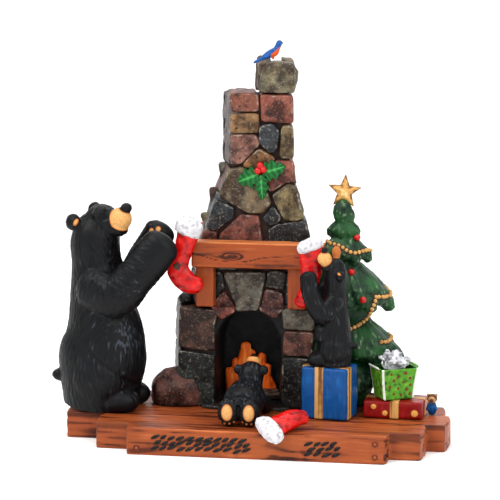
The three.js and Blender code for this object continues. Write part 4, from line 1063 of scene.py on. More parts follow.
def cap_stones():
    straight = (-0.12, 1, 0)
    face = [(-2.6, 192), (17.2, 191.8), (19, 199), (19.2, 204), (16.4, 208.4), (8, 209.4), (1.6, 208.2),
        (-1.2, 204.4),
            (-2.4, 198)]
    block(face, on_front, straight, 6.5, OLIVE, 0.8, edge=2.6, gap=0)
    left = [(0.5, 192), (18, 192), (17, 207.6), (13.4, 208.8), (6.4, 211.6), (0.6, 210.8)]
    block(left, on_side("cap", "left"), (1, 0.1, 0), 5, (92, 74, 54), 0.6, edge=2.2, gap=0)
    right = [(3, 192), (20, 192), (20.4, 206), (18, 210.6), (13, 209.4), (8, 206.4), (3.4, 207)]
    block(right, on_side("cap", "right"), (-1, 0.1, 0), 5, (108, 96, 74), 0.6, edge=2.2, gap=0)
    rear = [(0.4, 192), (19.6, 192), (19.4, 208), (15, 207), (9, 205.4), (4, 207.4), (0.6, 209)]
    block(rear, on_side("cap", "back"), (0, -1, 0), 5, GREY, 0.4, edge=2.2, gap=0)


def stonework():
    front_stones()
    side_stones()
    cap_stones()
    rock((-46.8, 24.5, STAND + 6), (17, 13, 15), (90, 56, 48), (0, 0, 12), around=64, down=40)
    rock((-44, 27, LEDGE + 2.6), (4.4, 6, 3.8), DARK, around=26, down=16, floor=LEDGE - 2)
    v, f = joined([(s[0], s[1]) for s in STONES])
    relief = np.concatenate([s[2] for s in STONES])
    tint = np.vstack([s[3] for s in STONES])
    piece("stonework", v, f, "stone", "fireplace", relief=relief, tint=tint)


def frustum(low, high):
    """A tier between two levels, each four corners and a height."""
    v = np.array([[*p, z] for corners, z in (low, high) for p in corners])
    f = [[3, 2, 1, 0], [4, 5, 6, 7]] + [[i, (i + 1) % 4, 4 + (i + 1) % 4, 4 + i] for i in range(4)]
    return v, f


def core_tier(tier, inset, z0, z1):
    rows = []
    for z in (z0, z1):
        four = np.array(corners_at(tier, z))
        middle = four.mean(0)
        rows.append((four - inset * np.sign(four - middle), z))
    return frustum(*rows)


def mortar():
    half, centre = FIREBOX["half"], FIREBOX["centre"]
    a = np.linspace(math.pi, 0, 17)
    rise = FIREBOX["top"] - FIREBOX["spring"]
    arch = [(centre + half * math.cos(t), FIREBOX["spring"] + rise * math.sin(t)) for t in a]
    outer_l, outer_r = [(-44.8, 71), (-44.8, STAND)], [(25, STAND), (29, 71)]
    outline = outer_l + [(centre - half, STAND)] + arch + [(centre + half, STAND)] + outer_r
    n = len(outline)
    shear = np.zeros((n, 2))
    shear[[0, 1]] = (-6.6, 0)
    shear[[-1, -2]] = (-5, 0)
    v, f = prism(outline, 44, 17.4, axis=1)
    v[n:, 0] += shear[:, 0]
    wall = frustum(
        ([(-51.6, 42.6), (20, 42.6), (19, 48.6), (-53, 48.6)], STAND),
        ([(-51.4, 42.6), (24, 42.6), (22.6, 48.6), (-52, 48.6)], 71),
    )
    shells = [
        (v, f), wall,
        core_tier("lintel", 2.4, 70.4, LINTEL_TOP), core_tier("shoulder", 2.4, LINTEL_TOP - 1, SHOULDER_TOP),
        core_tier("stack", 2.4, SHOULDER_TOP - 1, STACK_TOP - 2.6),
        core_tier("cap", 3.2, STACK_TOP - 4, CAP_TOP - 7),
        prism([(HEARTH["left"], 15), (HEARTH["right"], 15), (HEARTH["right"], 44), (HEARTH["left"], 44)],
        HEARTH["top"], STAND),
    ]
    v, f = skin(shells, 1.3, 2)
    v = pressed(v, f, 0.35 * noise(v, 3) + 0.5 * noise(v, 7))
    ground(v, STAND)
    inner = (v[:, 1] > 16.5) & (v[:, 1] < 43.6) & (np.abs(v[:, 0] - centre) < half + 1.2) & (v[:,
        2] < FIREBOX["top"] + 1.4)
    brown, soot = np.array(srgb(40, 22, 16)), np.array(srgb(17, 17, 19))
    tint = np.where(inner[:, None], soot, brown)
    piece("mortar", v, f, "mortar", "fireplace", relief=0.8 * noise(v, 4, 5), tint=tint)


def firebox():
    centre = FIREBOX["centre"]
    flames = []
    for x, lean, height, half in ((-14.4, 1.6, 34, 4.6), (-20.4, -1, 17, 3.6), (-6.4, 2.6, 27, 4.4),
        (1.2, -2.4, 17, 4.2),
                                  (-10.4, 1.2, 29, 3.2), (-17.4, -0.6, 23, 3.2), (-1.8, 1.8, 20, 3.4)):
        foot, y = HEARTH["top"], 39.2
        flames.append(limb([
            [x, y, foot, half, 2.6], [x + 0.1 * lean, y, foot + 0.3 * height, half * 1.05, 2.6],
            [x + 0.7 * lean, y, foot + 0.62 * height, half * 0.86, 2.3],
            [x + lean * 1.4, y, foot + 0.88 * height, half * 0.56, 1.8],
        ], domes=(0, 1), sides=18, rings=8))
    v, f = skin(flames, 0.55, 3)
    groove = noise(v, (1.7, 2, 9), 4)
    v = pressed(v, f, 0.4 * groove)
    piece("flames", v, f, "flame", "fireplace", relief=groove + 0.3 * (v[:, 2] - 30) / 20)
    logs = [
        limb([[-21.2, 37.4, 19.6, 2.6, 2.6], [-6, 38.6, 19.9, 2.7, 2.7], [7, 36.2, 19.6, 2.5, 2.5]],
        domes=(0.2, 0.2)),
        limb([[-2, 33.4, 18.8, 2.2, 2.2], [9.2, 31, 19.6, 2.1, 2.1]], domes=(0.2, 0.2)),
        limb([[-9, 33, 19, 2.1, 2.1], [-19.5, 31.4, 19.4, 2.1, 2.1]], domes=(0.2, 0.2)),
    ]
    v, f = skin(logs, 0.55, 2)
    bark = noise(v, (7, 1.3, 1.3))
    v = pressed(v, f, 0.35 * bark)
    piece("logs", v, f, "bark", "fireplace", relief=bark)
    slab = [(-33, 10.4), (-20, 9.8), (-6, 10.3), (8, 9.8), (18, 10.6), (18.4, 20), (-33.6, 20)]
    block(slab, lambda p: np.column_stack([p, np.full(len(p), HEARTH["top"] + 0.1)]), (0, 0, -1), 1.1, (48, 46, 45),
        0, edge=0.8, gap=0)
    v, f, relief, tint = STONES.pop()
    v[:, 2] = np.clip(v[:, 2], STAND, HEARTH["top"] + 0.5)
    piece("hearth", v, f, "stone", "fireplace", relief=relief, tint=tint)


stonework()
mortar()
firebox()

# Mantel

MANTEL = {"left": -38, "right": 36.5, "front": 8, "back": 19.2}


def mantel():
    front, back = MANTEL["front"] + 0.3, MANTEL["back"]
    beam = box_shell((MANTEL["left"] + 0.3, front, BEAM_BOTTOM + 0.3),
        (MANTEL["right"] - 0.3, back, BEAM_TOP - 0.3))
    posts = [box_shell((x, 11.4, LEDGE + 0.5), (x + 10.2, back, BEAM_BOTTOM + 2)) for x in (-35.9, 16.1)]
    v, f = skin([beam, *posts], 0.62, 5)
    n = normals(v, f)
    upright = step(-v[:, 2], -BEAM_BOTTOM - 0.2, -BEAM_BOTTOM + 0.6)
    knot = np.hypot((v[:, 0] + 14.5) / 5.6, (v[:, 2] - 102.2) / 1.9)
    push = np.sign(v[:, 2] - 102.2) * 2.4 * np.exp(-((knot / 1.6) ** 2))
    warp = 1.5 * noise(v, (22, 6, 30), 2)
    lying = np.column_stack([v[:, 0] / 30, v[:, 1] / 1.9, (v[:, 2] - push + warp) / 1.9])
    standing = np.column_stack([v[:, 0] / 1.4, v[:, 1] / 1.4, v[:, 2] / 26])
    lines = np.where(upright > 0.5, noise(standing), noise(lying)) + 0.25 * noise(v, (9, 1, 1), 7)
    front_face = step(-n[:, 1], 0.6, 0.9) * (1 - upright)
    rings = np.exp(-(((knot - 1) / 0.16) ** 2)) + np.exp(-(((knot - 0.35) / 0.2) ** 2))
    long = v[:, 2] - 101.6 - 1.2 * np.sin(v[:, 0] / 9) - 0.8 * noise(v, (14, 50, 50), 4) - push * 1.4
    seam = np.exp(-((long / 0.28) ** 2)) * (knot > 1.15)
    deep = np.where(lines < -0.35, lines + 0.35, 0)
    # The top of the beam and its upper edge are painted lighter: a painted highlight along the top.
    relief = 0.5 * lines + 0.5 * deep + 0.1 - 1.0 * front_face * np.maximum(rings, seam) + 0.8 * step(v[:, 2],
        BEAM_TOP - 1.6, BEAM_TOP - 0.5)
    height = 0.14 * lines + 0.4 * deep - 0.35 * front_face * np.maximum(rings, seam) + 0.25 * noise(v, 12, 3)
    v = pressed(v, f, height)
    v[:, 1] = np.minimum(v[:, 1], back)
    piece("mantel_beam", v, f, "mantel", "mantel", relief=relief)


mantel()

# The tree

TREE = {"x": 44.6, "y": 34, "height": 116, "radius": 31, "flat": 0.62}
TIP = STAND + TREE["height"]
# Rim height, top height and radius of each tier as shares of the tree's own, its boughs, and their turn
BRANCHES = (
    (0.085, 0.25, 0.93, 8, 0.35), (0.215, 0.43, 0.96, 8, 0.0), (0.475, 0.68, 0.84, 7, 0.0),
    (0.705, 0.82, 0.44, 6, 0.1),
    (0.825, 0.9, 0.27, 5, 0.9),
)


# A bough from its root to its tip, in shares: reach, height, width and thickness
BOUGH = ((0.15, 0.9, 0.4, 0.8), (0.4, 0.7, 0.75, 1), (0.68, 0.44, 1, 1.2), (0.9, 0.2, 0.85, 1.3),
    (1.0, 0.05, 0.5, 1))
# Radius of a bead and of a ball, the beads' spacing, and how far their centres stand off the boughs
BEAD, BALL, BEAD_PITCH, BEAD_OUT, BALL_OUT = 1.15, 1.9, 2.6, 0.35, 0.9


def towards_tree(bvh, angle, z):
    """Where a level line from outside meets the tree, and the way out along it."""
    way = np.array([math.cos(math.radians(angle)), math.sin(math.radians(angle)), 0])
    return first_hit(bvh, np.array([TREE["x"], TREE["y"], z]) + 70 * way, -way), way


def chimney_right(v):
    """Where the chimney's right side is, for points at any height and depth."""
    out = np.full(len(v), -1e9)
    for tier in ("foot", "lintel", "shoulder", "stack"):
        low, high, _ = TIERS[tier]
        level = (v[:, 2] >= low[0] - 0.5) & (v[:, 2] <= high[0] + 0.5)
        four = corners_at(tier, np.clip(v[:, 2], low[0], high[0]))
        t = np.clip((v[:, 1] - four[1][:, 1]) / (four[2][:, 1] - four[1][:, 1]), 0, 1)
        out = np.where(level, np.maximum(out, four[1][:, 0] * (1 - t) + four[2][:, 0] * t), out)
    return out


def tree():
    rng = np.random.default_rng(5)
    height, radius, flat = TREE["height"], TREE["radius"], TREE["flat"]
    centre = np.array([TREE["x"], TREE["y"], STAND])
    trunk = ((0.2, 15, 9), (0.2 * height, 18, 10), (0.42 * height, 15.5, 9), (0.68 * height, 8, 6),
        (0.9 * height, 4.2, 4),
             (0.97 * height, 3, 2.6))
    shells = [limb([[*(centre + [0, 0, z]), *size] for z, *size in trunk], domes=(0, 1))]
    for x, share, radii in ((-0.8, 0.945, (5.6, 5, 7.4)), (2.6, 0.93, (3.6, 3.4, 4.6))):
        shells.append(ellipsoid(centre + [x, -1, share * height], radii))
    for rim, top, reach, lobes, phase in BRANCHES:
        r, rise = reach * radius, (top - rim) * height
        for ring in (0, 1):
            for j in range(lobes):
                angle = 2 * math.pi * (j + 0.5 * ring) / lobes + phase + rng.uniform(-0.1, 0.1)
                far = r * (1.03 if ring == 0 else 0.9) * rng.uniform(0.93, 1.05)
                foot = rim * height + (1.2 if ring == 0 else 0.2 * rise) + rng.uniform(-1, 1) * 0.04 * rise
                way = np.array([math.cos(angle), math.sin(angle) * flat, 0])
                wide, thick = 2 * math.pi * r / lobes * 0.34, 0.1 * rise + 1.3
                stations = [[*(centre + way * far * share + [0, 0, foot + up * rise]), wide * a, thick * b]
                            for share, up, a, b in BOUGH]
                shells.append(limb(stations, deep=(0, 0, 1), domes=(0.4, 0.9), sides=20, rings=7))
    v, f = skin(shells, 0.85, 3)
    ground(v, STAND)
    v[:, 0] = np.maximum(v[:, 0], chimney_right(v) + 0.7)

    def flow(p):
        q = p - centre
        away = unit(np.column_stack([q[:, 0], q[:, 1] / flat, np.zeros(len(p))]))
        away[:, 2] = -0.85 + 0.3 * np.sin(q[:, 2] / 3)
        return away

    relief_height, locks = fur(v, flow, np.ones(len(v)), 1.3, 0.5)
    q = v - centre
    out = np.hypot(q[:, 0], q[:, 1] / flat)
    line = np.interp(q[:, 2] / height, [0.1, 0.5, 1.0], [radius, 0.62 * radius, 3])
    tips = step(out / line, 0.62, 1.05)
    v = pressed(v, f, relief_height)
    v[:, 0] = np.maximum(v[:, 0], chimney_right(v) + 0.5)
    return v, f, 0.8 * locks - 0.25, tips


def sight(px, py):
    """The direction from the camera to a place in the picture."""
    return AIM + PIXEL * ((px - PICTURE / 2) * RIGHT + (PICTURE / 2 - py) * UP) - EYE


def first_hit(bvh, start, towards):
    """Where a ray first meets the tree, or None."""
    hit = bvh.ray_cast(Vector(start), Vector(towards))[0]
    return np.array(hit) if hit else None


def bead_row(bvh, points):
    """Places for beads along points (angle in degrees, height) round the tree, each with its outward direction."""
    p = catmull(points, 400)
    spots = []
    for angle, z in p:
        hit, way = towards_tree(bvh, angle, z)
        if hit is not None:
            spots.append((hit + BEAD_OUT * way, way))
    chosen = [spots[0]]
    for spot in spots[1:]:
        if np.linalg.norm(spot[0] - chosen[-1][0]) >= BEAD_PITCH:
            chosen.append(spot)
    return chosen


def bead_path(bvh, points):
    """Places for beads along points of the picture, each where its line of sight meets the tree."""
    chosen = []
    for px, py in catmull(points, 300):
        hit = first_hit(bvh, EYE, sight(px, py))
        if hit is None:
            continue
        spot = hit + BEAD_OUT * unit(EYE - hit)
        if not chosen or np.linalg.norm(spot - chosen[-1][0]) >= BEAD_PITCH:
            chosen.append((spot, unit(EYE - hit)))
    return chosen


def decorated_tree():
    v, f, relief, tips = tree()
    bvh = BVHTree.FromPolygons(v.tolist(), np.asarray(f).tolist())

    def seen(px, py):
        """Bearing round the trunk and height of what shows at a place in the picture."""
        for share in np.linspace(0, 1, 41):
            hit = first_hit(bvh, EYE, sight(px + share * (346 - px), py))
            if hit is not None:
                break
        return math.degrees(math.atan2(hit[1] - TREE["y"], hit[0] - TREE["x"])) % 360, hit[2]

    upper = [(325.5, 239.4), (330, 243), (340, 246), (348.7, 251.5), (356.7, 253), (361, 251)]
    middle = [(376, 297), (375, 302), (371, 311.9), (367.2, 318.3), (360.1, 324.1), (353, 327.9), (346, 330)]
    lower = [(385, 342), (379, 342)]
    rows = [bead_path(bvh, points) for points in (upper, middle, lower)]
    for points, rise in ((upper, (104, 101, 97, 96)), (middle[::-1], (79, 84, 88, 88)),
        (lower[::-1], (54, 56, 57, 57))):
        angle, z = seen(*points[-1])
        angle = angle - 360 if angle > 180 else angle
        rows.append(bead_row(bvh, [(angle + 4, z)] + [(angle + turn, up) for turn,
            up in zip((28, 70, 120, 165), rise)]))
    # Boughs within about 2 mm of a bead get a painted shadow in dark brown.
    band = np.full(len(v), 9.0)
    shells = []
    for row in rows:
        for spot, way in row:
            shells.append(ellipsoid(spot, [BEAD] * 3, around=9, down=7))
            near = np.linalg.norm(v - spot, axis=1)
            band = np.minimum(band, near)
    piece("tree_boughs", v, f, "fir", "tree", relief=relief, tips=tips, band=1.9 - band)
    bv, bf = joined(shells)
    piece("bead_garlands", bv, bf, "gold", "tree", relief=0.8 * noise(bv, 1.1))
    balls = []
    for px, py in ((357.3, 237.5), (351.6, 272), (363, 300)):
        hit = first_hit(bvh, EYE, sight(px, py))
        if hit is None:
            hit = first_hit(bvh, EYE, sight(px - 4, py))
        if hit is None:
            continue
        balls.append(ellipsoid(hit + unit(EYE - hit) * BALL_OUT, [BALL] * 3, around=22, down=16))
    for angle, z in ((72, 86), (100, 112), (135, 74), (110, 50), (165, 56), (25, 66), (60, 60), (205, 98)):
        hit, way = towards_tree(bvh, angle, z)
        if hit is not None:
            balls.append(ellipsoid(hit + way * BALL_OUT, [BALL] * 3, around=22, down=16))
    bv, bf = joined(balls)
    piece("tree_balls", bv, bf, "red_gloss", "tree", relief=0.5 * noise(bv, 1.6))


decorated_tree()


def star():
    radius, waist, thick = 10.1, 0.43, 5.2
    middle = np.array([TREE["x"], TREE["y"], TIP + 0.9 + radius * waist])
    a = math.pi / 2 + np.arange(10) * math.pi / 5 + math.radians(-4)
    r = np.where(np.arange(10) % 2, radius * waist, radius)
    ring = np.column_stack([r * np.cos(a), np.zeros(10), r * np.sin(a)])
    v = np.vstack([ring + [0, 0.7, 0], ring - [0, 0.7, 0], [[0, thick / 2, 0], [0, -thick / 2, 0]]]) + middle
    f = [[i, (i + 1) % 10, 10 + (i + 1) % 10, 10 + i] for i in range(10)]
    f += [[(i + 1) % 10, i, 20] for i in range(10)] + [[10 + i, 10 + (i + 1) % 10, 21] for i in range(10)]
    v, f = skin([(v, f)], 0.33, 1)
    lines = 0.6 * noise(v, (2.6, 2.6, 1.6), 3)
    q = v - middle
    ridge = 1.2 * step(-np.abs(q[:, 1]), -thick / 2, -0.2) - 0.5
    v = pressed(v, f, 0.12 * lines)
    piece("gilt_star", v, f, "gold", "star", relief=lines - ridge)


star()

# Stockings, in hundredths of their own length

STOCKINGS = {
    "left": {
        "length": 40, "at": (-37.2, 4.6, 122.3), "deep": (0, 1, 0),
        "path": [[0, 0, 0, 17, 10], [-5, 0, -24, 15, 10], [-13, 0, -50, 13, 9.5], [-18, 0, -70, 15.5, 10],
                 [-6, 0, -86, 15, 10], [9, 0, -91, 12, 9]],
        "cuff": [[1.5, 0, 0, 18.5, 12.5], [-5.5, 0, -17, 19, 12.5]],
    },
    "right": {
        "length": 36, "at": (29.7, 4.6, 111.3), "deep": (0, 1, 0),
        "path": [[0, 0, 0, 19, 10], [2, 0, -25, 18, 10], [1.5, 0, -52, 15, 9.5], [-5, 0, -76, 12, 9],
        [-14, 0, -92, 11, 9]],
        "cuff": [[-2.6, 0, 3.5, 20, 12], [2.4, 0, -8.5, 20.5, 12]],
    },
    "floor": {
        "length": 29, "at": (15, -45, 16.6), "deep": (-0.14, 0.56, -0.82),
        "path": [[0, 0, 0, 22, 16], [22, 20, 10, 20, 16], [42, 38, 17, 19, 15], [55, 50, 17, 15, 13]],
        "cuff": [[-5, -6, -1, 34, 17], [9, 7, 5, 31, 16]],
    },
}


def settle(v, name, behind=True):
    """The stocking on the deck lies on it, and the others hang before the mantel's face, where they'd reach behind."""
    if name == "floor":
        v[:, 2] = np.where(v[:, 1] > DECK_FRONT - 0.6, np.maximum(v[:, 2], STAND + 0.05), v[:, 2])
    else:
        at_beam = (v[:, 2] < BEAM_TOP + 0.2) & behind
        v[:, 1] = np.where(at_beam, np.minimum(v[:, 1], MANTEL["front"] - 0.1), v[:, 1])


def stocking(name, shape, node):
    own = Figure(shape["at"], shape["length"] / 100)
    v, f = skin([own.limb(shape["path"], deep=shape["deep"], domes=(0.1, 0.9), sides=32)], 0.5, 3)
    folds = noise(v, (4.5, 4.5, 3), 2) + 0.5 * noise(v, (2.4, 2.4, 1.6), 3)
    spots = -np.linalg.norm((v - own.at(-17, -9, -62)) / (1, 2, 1), axis=1) + 2.2 + noise(v, 2.5, 12)
    v = pressed(v, f, 0.35 * folds)
    settle(v, name, v[:, 1] > 0)
    piece(f"{name}_stocking_leg", v, f, "stocking", node, relief=folds, patch=spots)
    cuff = [[*own.at(*s[:3]), own.k * s[3], own.k * s[4]] for s in shape["cuff"]]
    a, b = np.array(cuff[0][:3]), np.array(cuff[1][:3])
    roll = [
        [*(a + (a - b) * 0.12), cuff[0][3] * 0.8, cuff[0][4] * 0.75],
        [*(a * 0.85 + b * 0.15), cuff[0][3], cuff[0][4]],
        [*((a + b) / 2), (cuff[0][3] + cuff[1][3]) / 2 + 0.3, (cuff[0][4] + cuff[1][4]) / 2 + 0.3],
        [*b, cuff[1][3], cuff[1][4]],
    ]
    v, f = skin([limb(roll, deep=shape["deep"], domes=(0.3, 0.4), sides=32)], 0.5, 4)
    fluff = fractal(v, 2.0, 2, 6)
    v = pressed(v, f, 0.24 * fluff)
    settle(v, name)
    piece(f"{name}_stocking_cuff", v, f, "white_fluff", node, relief=fluff)


for side in STOCKINGS:
    stocking(side, STOCKINGS[side], f"{side}_stocking")

# Gifts

BLUE_GIFT = {"size": (26, 19.4, 29), "at": (41.2, 2.2, STAND), "turn": -12}
RED_GIFT = {"size": (32.4, 22, 9.8), "at": (76.8, 12, STAND), "turn": -1.5}
GREEN_GIFT = {"size": (18.6, 15, 17.4), "at": (75.9, 11.8, STAND + 9.8 + 0.3), "turn": 30, "flare": 1.6,
    "recess": 3}


def turned(v, gift):
    a = math.radians(gift["turn"])
    c, s = math.cos(a), math.sin(a)
    v = np.asarray(v, float)
    return np.column_stack([c * v[:, 0] - s * v[:, 1], s * v[:, 0] + c * v[:, 1], v[:, 2]]) + np.asarray(gift["at"],
        float)


# The value of a mark where there is none
NONE = -9.0


def parcel(name, gift, material, ribbon_x, ribbon_y, node, slot, dots=()):
    wide, deep, tall = gift["size"]
    body = box_shell((-wide / 2, -deep / 2, 0.2), (wide / 2, deep / 2, tall - 0.4))
    v, f = skin([body], 0.7, 4)
    wobble = 0.3 * noise(v, 9, 1 + wide) + 0.16 * noise(v, 3.6, 2)
    v = pressed(v, f, 0.15 + wobble)
    ground(v, 0)
    brush = noise(v, (1.6, 1.6, 9), 3)
    spot = np.full(len(v), NONE)
    for x, z, r in dots:
        d = np.hypot(v[:, 0] - x, v[:, 2] - z)
        spot = np.where(v[:, 1] < -deep / 2 + 2, np.maximum(spot, r - d), spot)
    v[:, 1] -= 0.5 * step(spot, -0.2, 0.4)
    values = {"relief": 0.7 * brush + 0.3, "spot": spot}
    piece(name, turned(v, gift), f, material, node, **values)
    half, out = 2.5, 0.55
    bands = [
        box_shell((ribbon_x - half, -deep / 2 - out, 0.1), (ribbon_x + half, deep / 2 + out, tall + 0.1)),
        box_shell((-wide / 2 - out, ribbon_y - half, 0.1), (wide / 2 + out, ribbon_y + half, tall + 0.1)),
    ]
    v, f = skin(bands, 0.5, 2)
    top = v[:, 2] > tall - 1
    across = np.abs(v[:, 0] - ribbon_x) > half + 0.3
    lines = np.where(across, noise(v, (60, 1.1, 60), 5), noise(v, (1.1, 60, 60), 5))
    v = pressed(v, f, 0.1 * lines)
    v[:, 2] = np.clip(v[:, 2], 0, tall + 0.2)
    piece(name + "_ribbon", turned(v, gift), f, "gold", node, relief=lines - 0.2 * top)


parcel("blue_parcel", BLUE_GIFT, "blue_matt", -2.6, -4.4, "blue_gift", "gift_blue")
parcel("red_parcel", RED_GIFT, "red_wrap", 0.9, 2.0, "red_gift", "gift_red",
    [(-10.6, 6.6, 1.5), (-4.2, 3.2, 1.5), (12.2, 3.6, 1.9)])


BOX_FACES = [[0, 1, 2, 3], [7, 6, 5, 4], [0, 4, 5, 1], [1, 5, 6, 2], [2, 6, 7, 3], [3, 7, 4, 0]]


def green_bag():
    wide, deep, tall = GREEN_GIFT["size"]
    flare, recess = GREEN_GIFT["flare"], GREEN_GIFT["recess"]
    wall = 1.1

    def ring(out, z):
        return ([(-wide / 2 - out, -deep / 2 - out), (wide / 2 + out, -deep / 2 - out),
            (wide / 2 + out, deep / 2 + out),
                 (-wide / 2 - out, deep / 2 + out)], z)

    sides = []
    low, high = ring(-0.4, 0), ring(flare, tall)
    for i in range(4):
        a, b = np.array(low[0][i]), np.array(low[0][(i + 1) % 4])
        c, d = np.array(high[0][(i + 1) % 4]), np.array(high[0][i])
        inner = unit(-(a + b)) * wall
        v = [[*p, z] for shift in (0, inner) for p,
            z in ((a + shift, 0), (b + shift, 0), (c + shift, tall), (d + shift, tall))]
        sides.append((np.array(v), BOX_FACES))
    sides.append(frustum(ring(-1, 0.1), ring(-0.4, tall - recess - 1)))
    for side in (-1, 1):
        x0, x1 = side * (wide / 2 + flare - 0.6), side * (wide / 2 + flare + 1.7)
        v = np.array([[x0, -deep / 2, tall - 0.8], [x0, deep / 2, tall - 0.8], [x1, deep / 2 - 1, tall + 1.5],
            [x1, -deep / 2 + 1, tall + 1.5]])
        v = np.vstack([v, v + [0, 0, -0.9]])
        sides.append((v, BOX_FACES))
    v, f = skin(sides, 0.45, 2)
    share = np.clip(v[:, 2] / tall, 0, 1)
    half_x, half_y = wide / 2 - 0.4 + (flare + 0.4) * share, deep / 2 - 0.4 + (flare + 0.4) * share
    bulge = 0.7 * np.sin(math.pi * share)
    v[:, 1] += np.where(v[:, 1] < -half_y + 1.4, bulge, 0)
    corner = np.minimum(half_x - np.abs(v[:, 0]), half_y - np.abs(v[:, 1]))
    both = np.maximum(half_x - np.abs(v[:, 0]), half_y - np.abs(v[:, 1]))
    edge = 1.15 - both
    flap = np.abs(v[:, 0]) - half_x - 0.9
    trim = np.where(v[:, 2] > tall - 0.1, np.maximum(edge, flap), edge)
    inside_bag = np.where((corner > 0.7) & (v[:, 2] > tall - recess - 0.6), 1.0, 0.0)
    spot = np.full(len(v), NONE)
    rng = np.random.default_rng(3)
    spots = [(-5.2, 14.6), (-1.2, 12.6), (3.4, 14.8), (-3.4, 10.8), (2.4, 9.6), (6.2, 11.8), (-5.6, 7.2),
        (-0.6, 6.2),
             (4.4, 5.4), (-3.2, 3.2), (1.2, 2.4), (6.4, 2.8), (6.6, 7.8)]
    for x, z in spots:
        r = rng.uniform(0.75, 1.05)
        up = 0.9 * (v[:, 2] - z)
        for where, offset, less in (
            (v[:, 1] < 0, v[:, 0] - x, 0), (v[:, 1] > 0, v[:, 0] + x, 0),
            (np.abs(v[:, 0]) > half_x - 1, v[:, 1] - 0.75 * x, 0.2),
        ):
            spot = np.where(where, np.maximum(spot, r - np.hypot(offset, up) - less), spot)
    v = pressed(v, f, 0.14 * noise(v, 3) + 0.12 * step(trim, -0.1, 0.2))
    ground(v, 0)
    # Inside the bag's opening the paper is painted dark and left without spots: painted shade in the opening.
    values = {"relief": noise(v, 2.4, 4) - 1.6 * inside_bag, "spot": np.minimum(spot, -trim - 0.1) - 3 * inside_bag,
        "trim": trim}
    piece("green_bag", turned(v, GREEN_GIFT), f, "green_paper", "green_gift", **values)
    rng = np.random.default_rng(8)
    puffs = [ellipsoid((0, 0, tall + 0.6), (6.6, 5.4, 5), around=20, down=12)]
    for i in range(11):
        angle, lift = i * 2.4, rng.uniform(0.15, 1.15)
        way = np.array([math.cos(angle) * math.cos(lift), 0.85 * math.sin(angle) * math.cos(lift), math.sin(lift)])
        side = unit(np.cross(way, [0, 0, 1]))
        start = np.array([0, 0, tall - 1.4])
        puffs.append(limb([
            [*(start + 1.5 * way), 1.6, 1.2], [*(start + 5 * way + 0.8 * side), 3.0, 1.3],
            [*(start + 8.4 * way + [0, 0, 1.2]), 3.4, 1.0], [*(start + 10.2 * way + [0, 0, 0.6]), 2.2, 0.7],
        ], deep=tuple(np.cross(way, side)), domes=(0.5, 1), sides=20, rings=6))
    v, f = skin(puffs, 0.5, 2)
    crumple = fractal(v, 3.4, 3, 9)
    folds = np.abs(noise(v, 3.2, 14)) * 2 - 0.5
    v = pressed(v, f, 0.5 * crumple + 0.5 * folds)
    ground(v, tall - recess)
    piece("tissue_bow", turned(v, GREEN_GIFT), f, "tissue", "green_gift", relief=crumple + folds - 0.2)


green_bag()


def toy():
    low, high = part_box("toy")
    lo = np.array([low.x, low.y, low.z]) * 1000 - SHIFT
    hi = np.array([high.x, high.y, high.z]) * 1000 - SHIFT
    middle = (lo + hi) / 2
    own = Figure((middle[0], middle[1] + 0.3, lo[2]), 0.116)
    arms = [limb([[*own.at(14 * side, -6, 46), 0.9, 0.9], [*own.at(20 * side, -12, 26), 0.9, 0.9]]) for side in (-1,
        1)]
    v, f = skin([own.lump((0, 0, 30), (22, 18, 39)), *arms], 0.3, 3)
    ground(v, lo[2])
    piece("toy_body", v, f, "blue_matt", "toy", relief=noise(v, 1.6))
    head = [((0, 0, 76), (25, 24, 23)), ((0, -20, 70), (10, 9, 8)), ((-19, 2, 93), (8.5, 5, 7.5)),
        ((19, 2, 93), (8.5, 5, 7.5))]
    v, f = skin([own.lump(*x) for x in head], 0.28, 3)
    q = (v - own.at(0, 0, 76)) / own.k
    stripes = np.sin(np.hypot(q[:, 0], q[:, 2] + 6) / 3.1)
    piece("toy_head", v, f, "toy_tan", "toy", relief=0.6 * noise(v, 1.2), stripe=stripes)


toy()

# Bird and holly


def bird():
    x = (TIERS["cap"][1][1] + TIERS["cap"][1][2]) / 2 - 4.2
    a = math.radians(14)
    turn = np.array([[math.cos(a), -math.sin(a), 0], [math.sin(a), math.cos(a), 0], [0, 0, 1]])
    own = Figure((x, 25.6 + 2.4, 1000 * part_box("bird")[0].z), 0.18, turn)
    deep = tuple(turn @ np.array([0, 1, 0]))
    body = [[-52, -8, -10, 4, 5], [-32, -4, 0, 6, 7], [-8, 0, 12, 11, 12], [10, 0, 20, 12.5, 13],
        [19, 0, 35, 9.5, 10],
            [25, 0, 48, 9.5, 9.5]]
    shells = [own.limb(body, deep=deep), own.limb([[30, 0, 49, 3.4, 3.4], [40, 0, 48, 1, 1]], deep=(0, 0, 1))]
    for rows in (
        [[-30, -11, 4, 3, 2], [-8, -12, 16, 8, 3.4], [10, -11, 26, 8, 3.4]],
        [[-30, 9, 4, 3, 2], [-8, 12, 16, 8, 3.4], [10, 11, 26, 8, 3.4]],
        [[4, -4, -1, 2, 2], [4, -4, 14, 2, 2]],
        [[8, 4, -1, 2, 2], [8, 4, 14, 2, 2]],
    ):
        shells.append(own.limb(rows, deep=deep))
    v, f = skin(shells, 0.26, 3)
    q = ((v - own.foot) @ turn) / own.k
    breast = 0.3 * np.minimum.reduce([0.62 * q[:, 0] - 0.78 * q[:, 2] + 12.5, 43 - q[:, 2], q[:, 0] + 2])
    feather = noise(q, (9, 2.6, 2.6), 2)
    v = pressed(v, f, 0.08 * feather)
    piece("little_bird", v, f, "bird_blue", "bird", relief=feather, breast=breast)


bird()


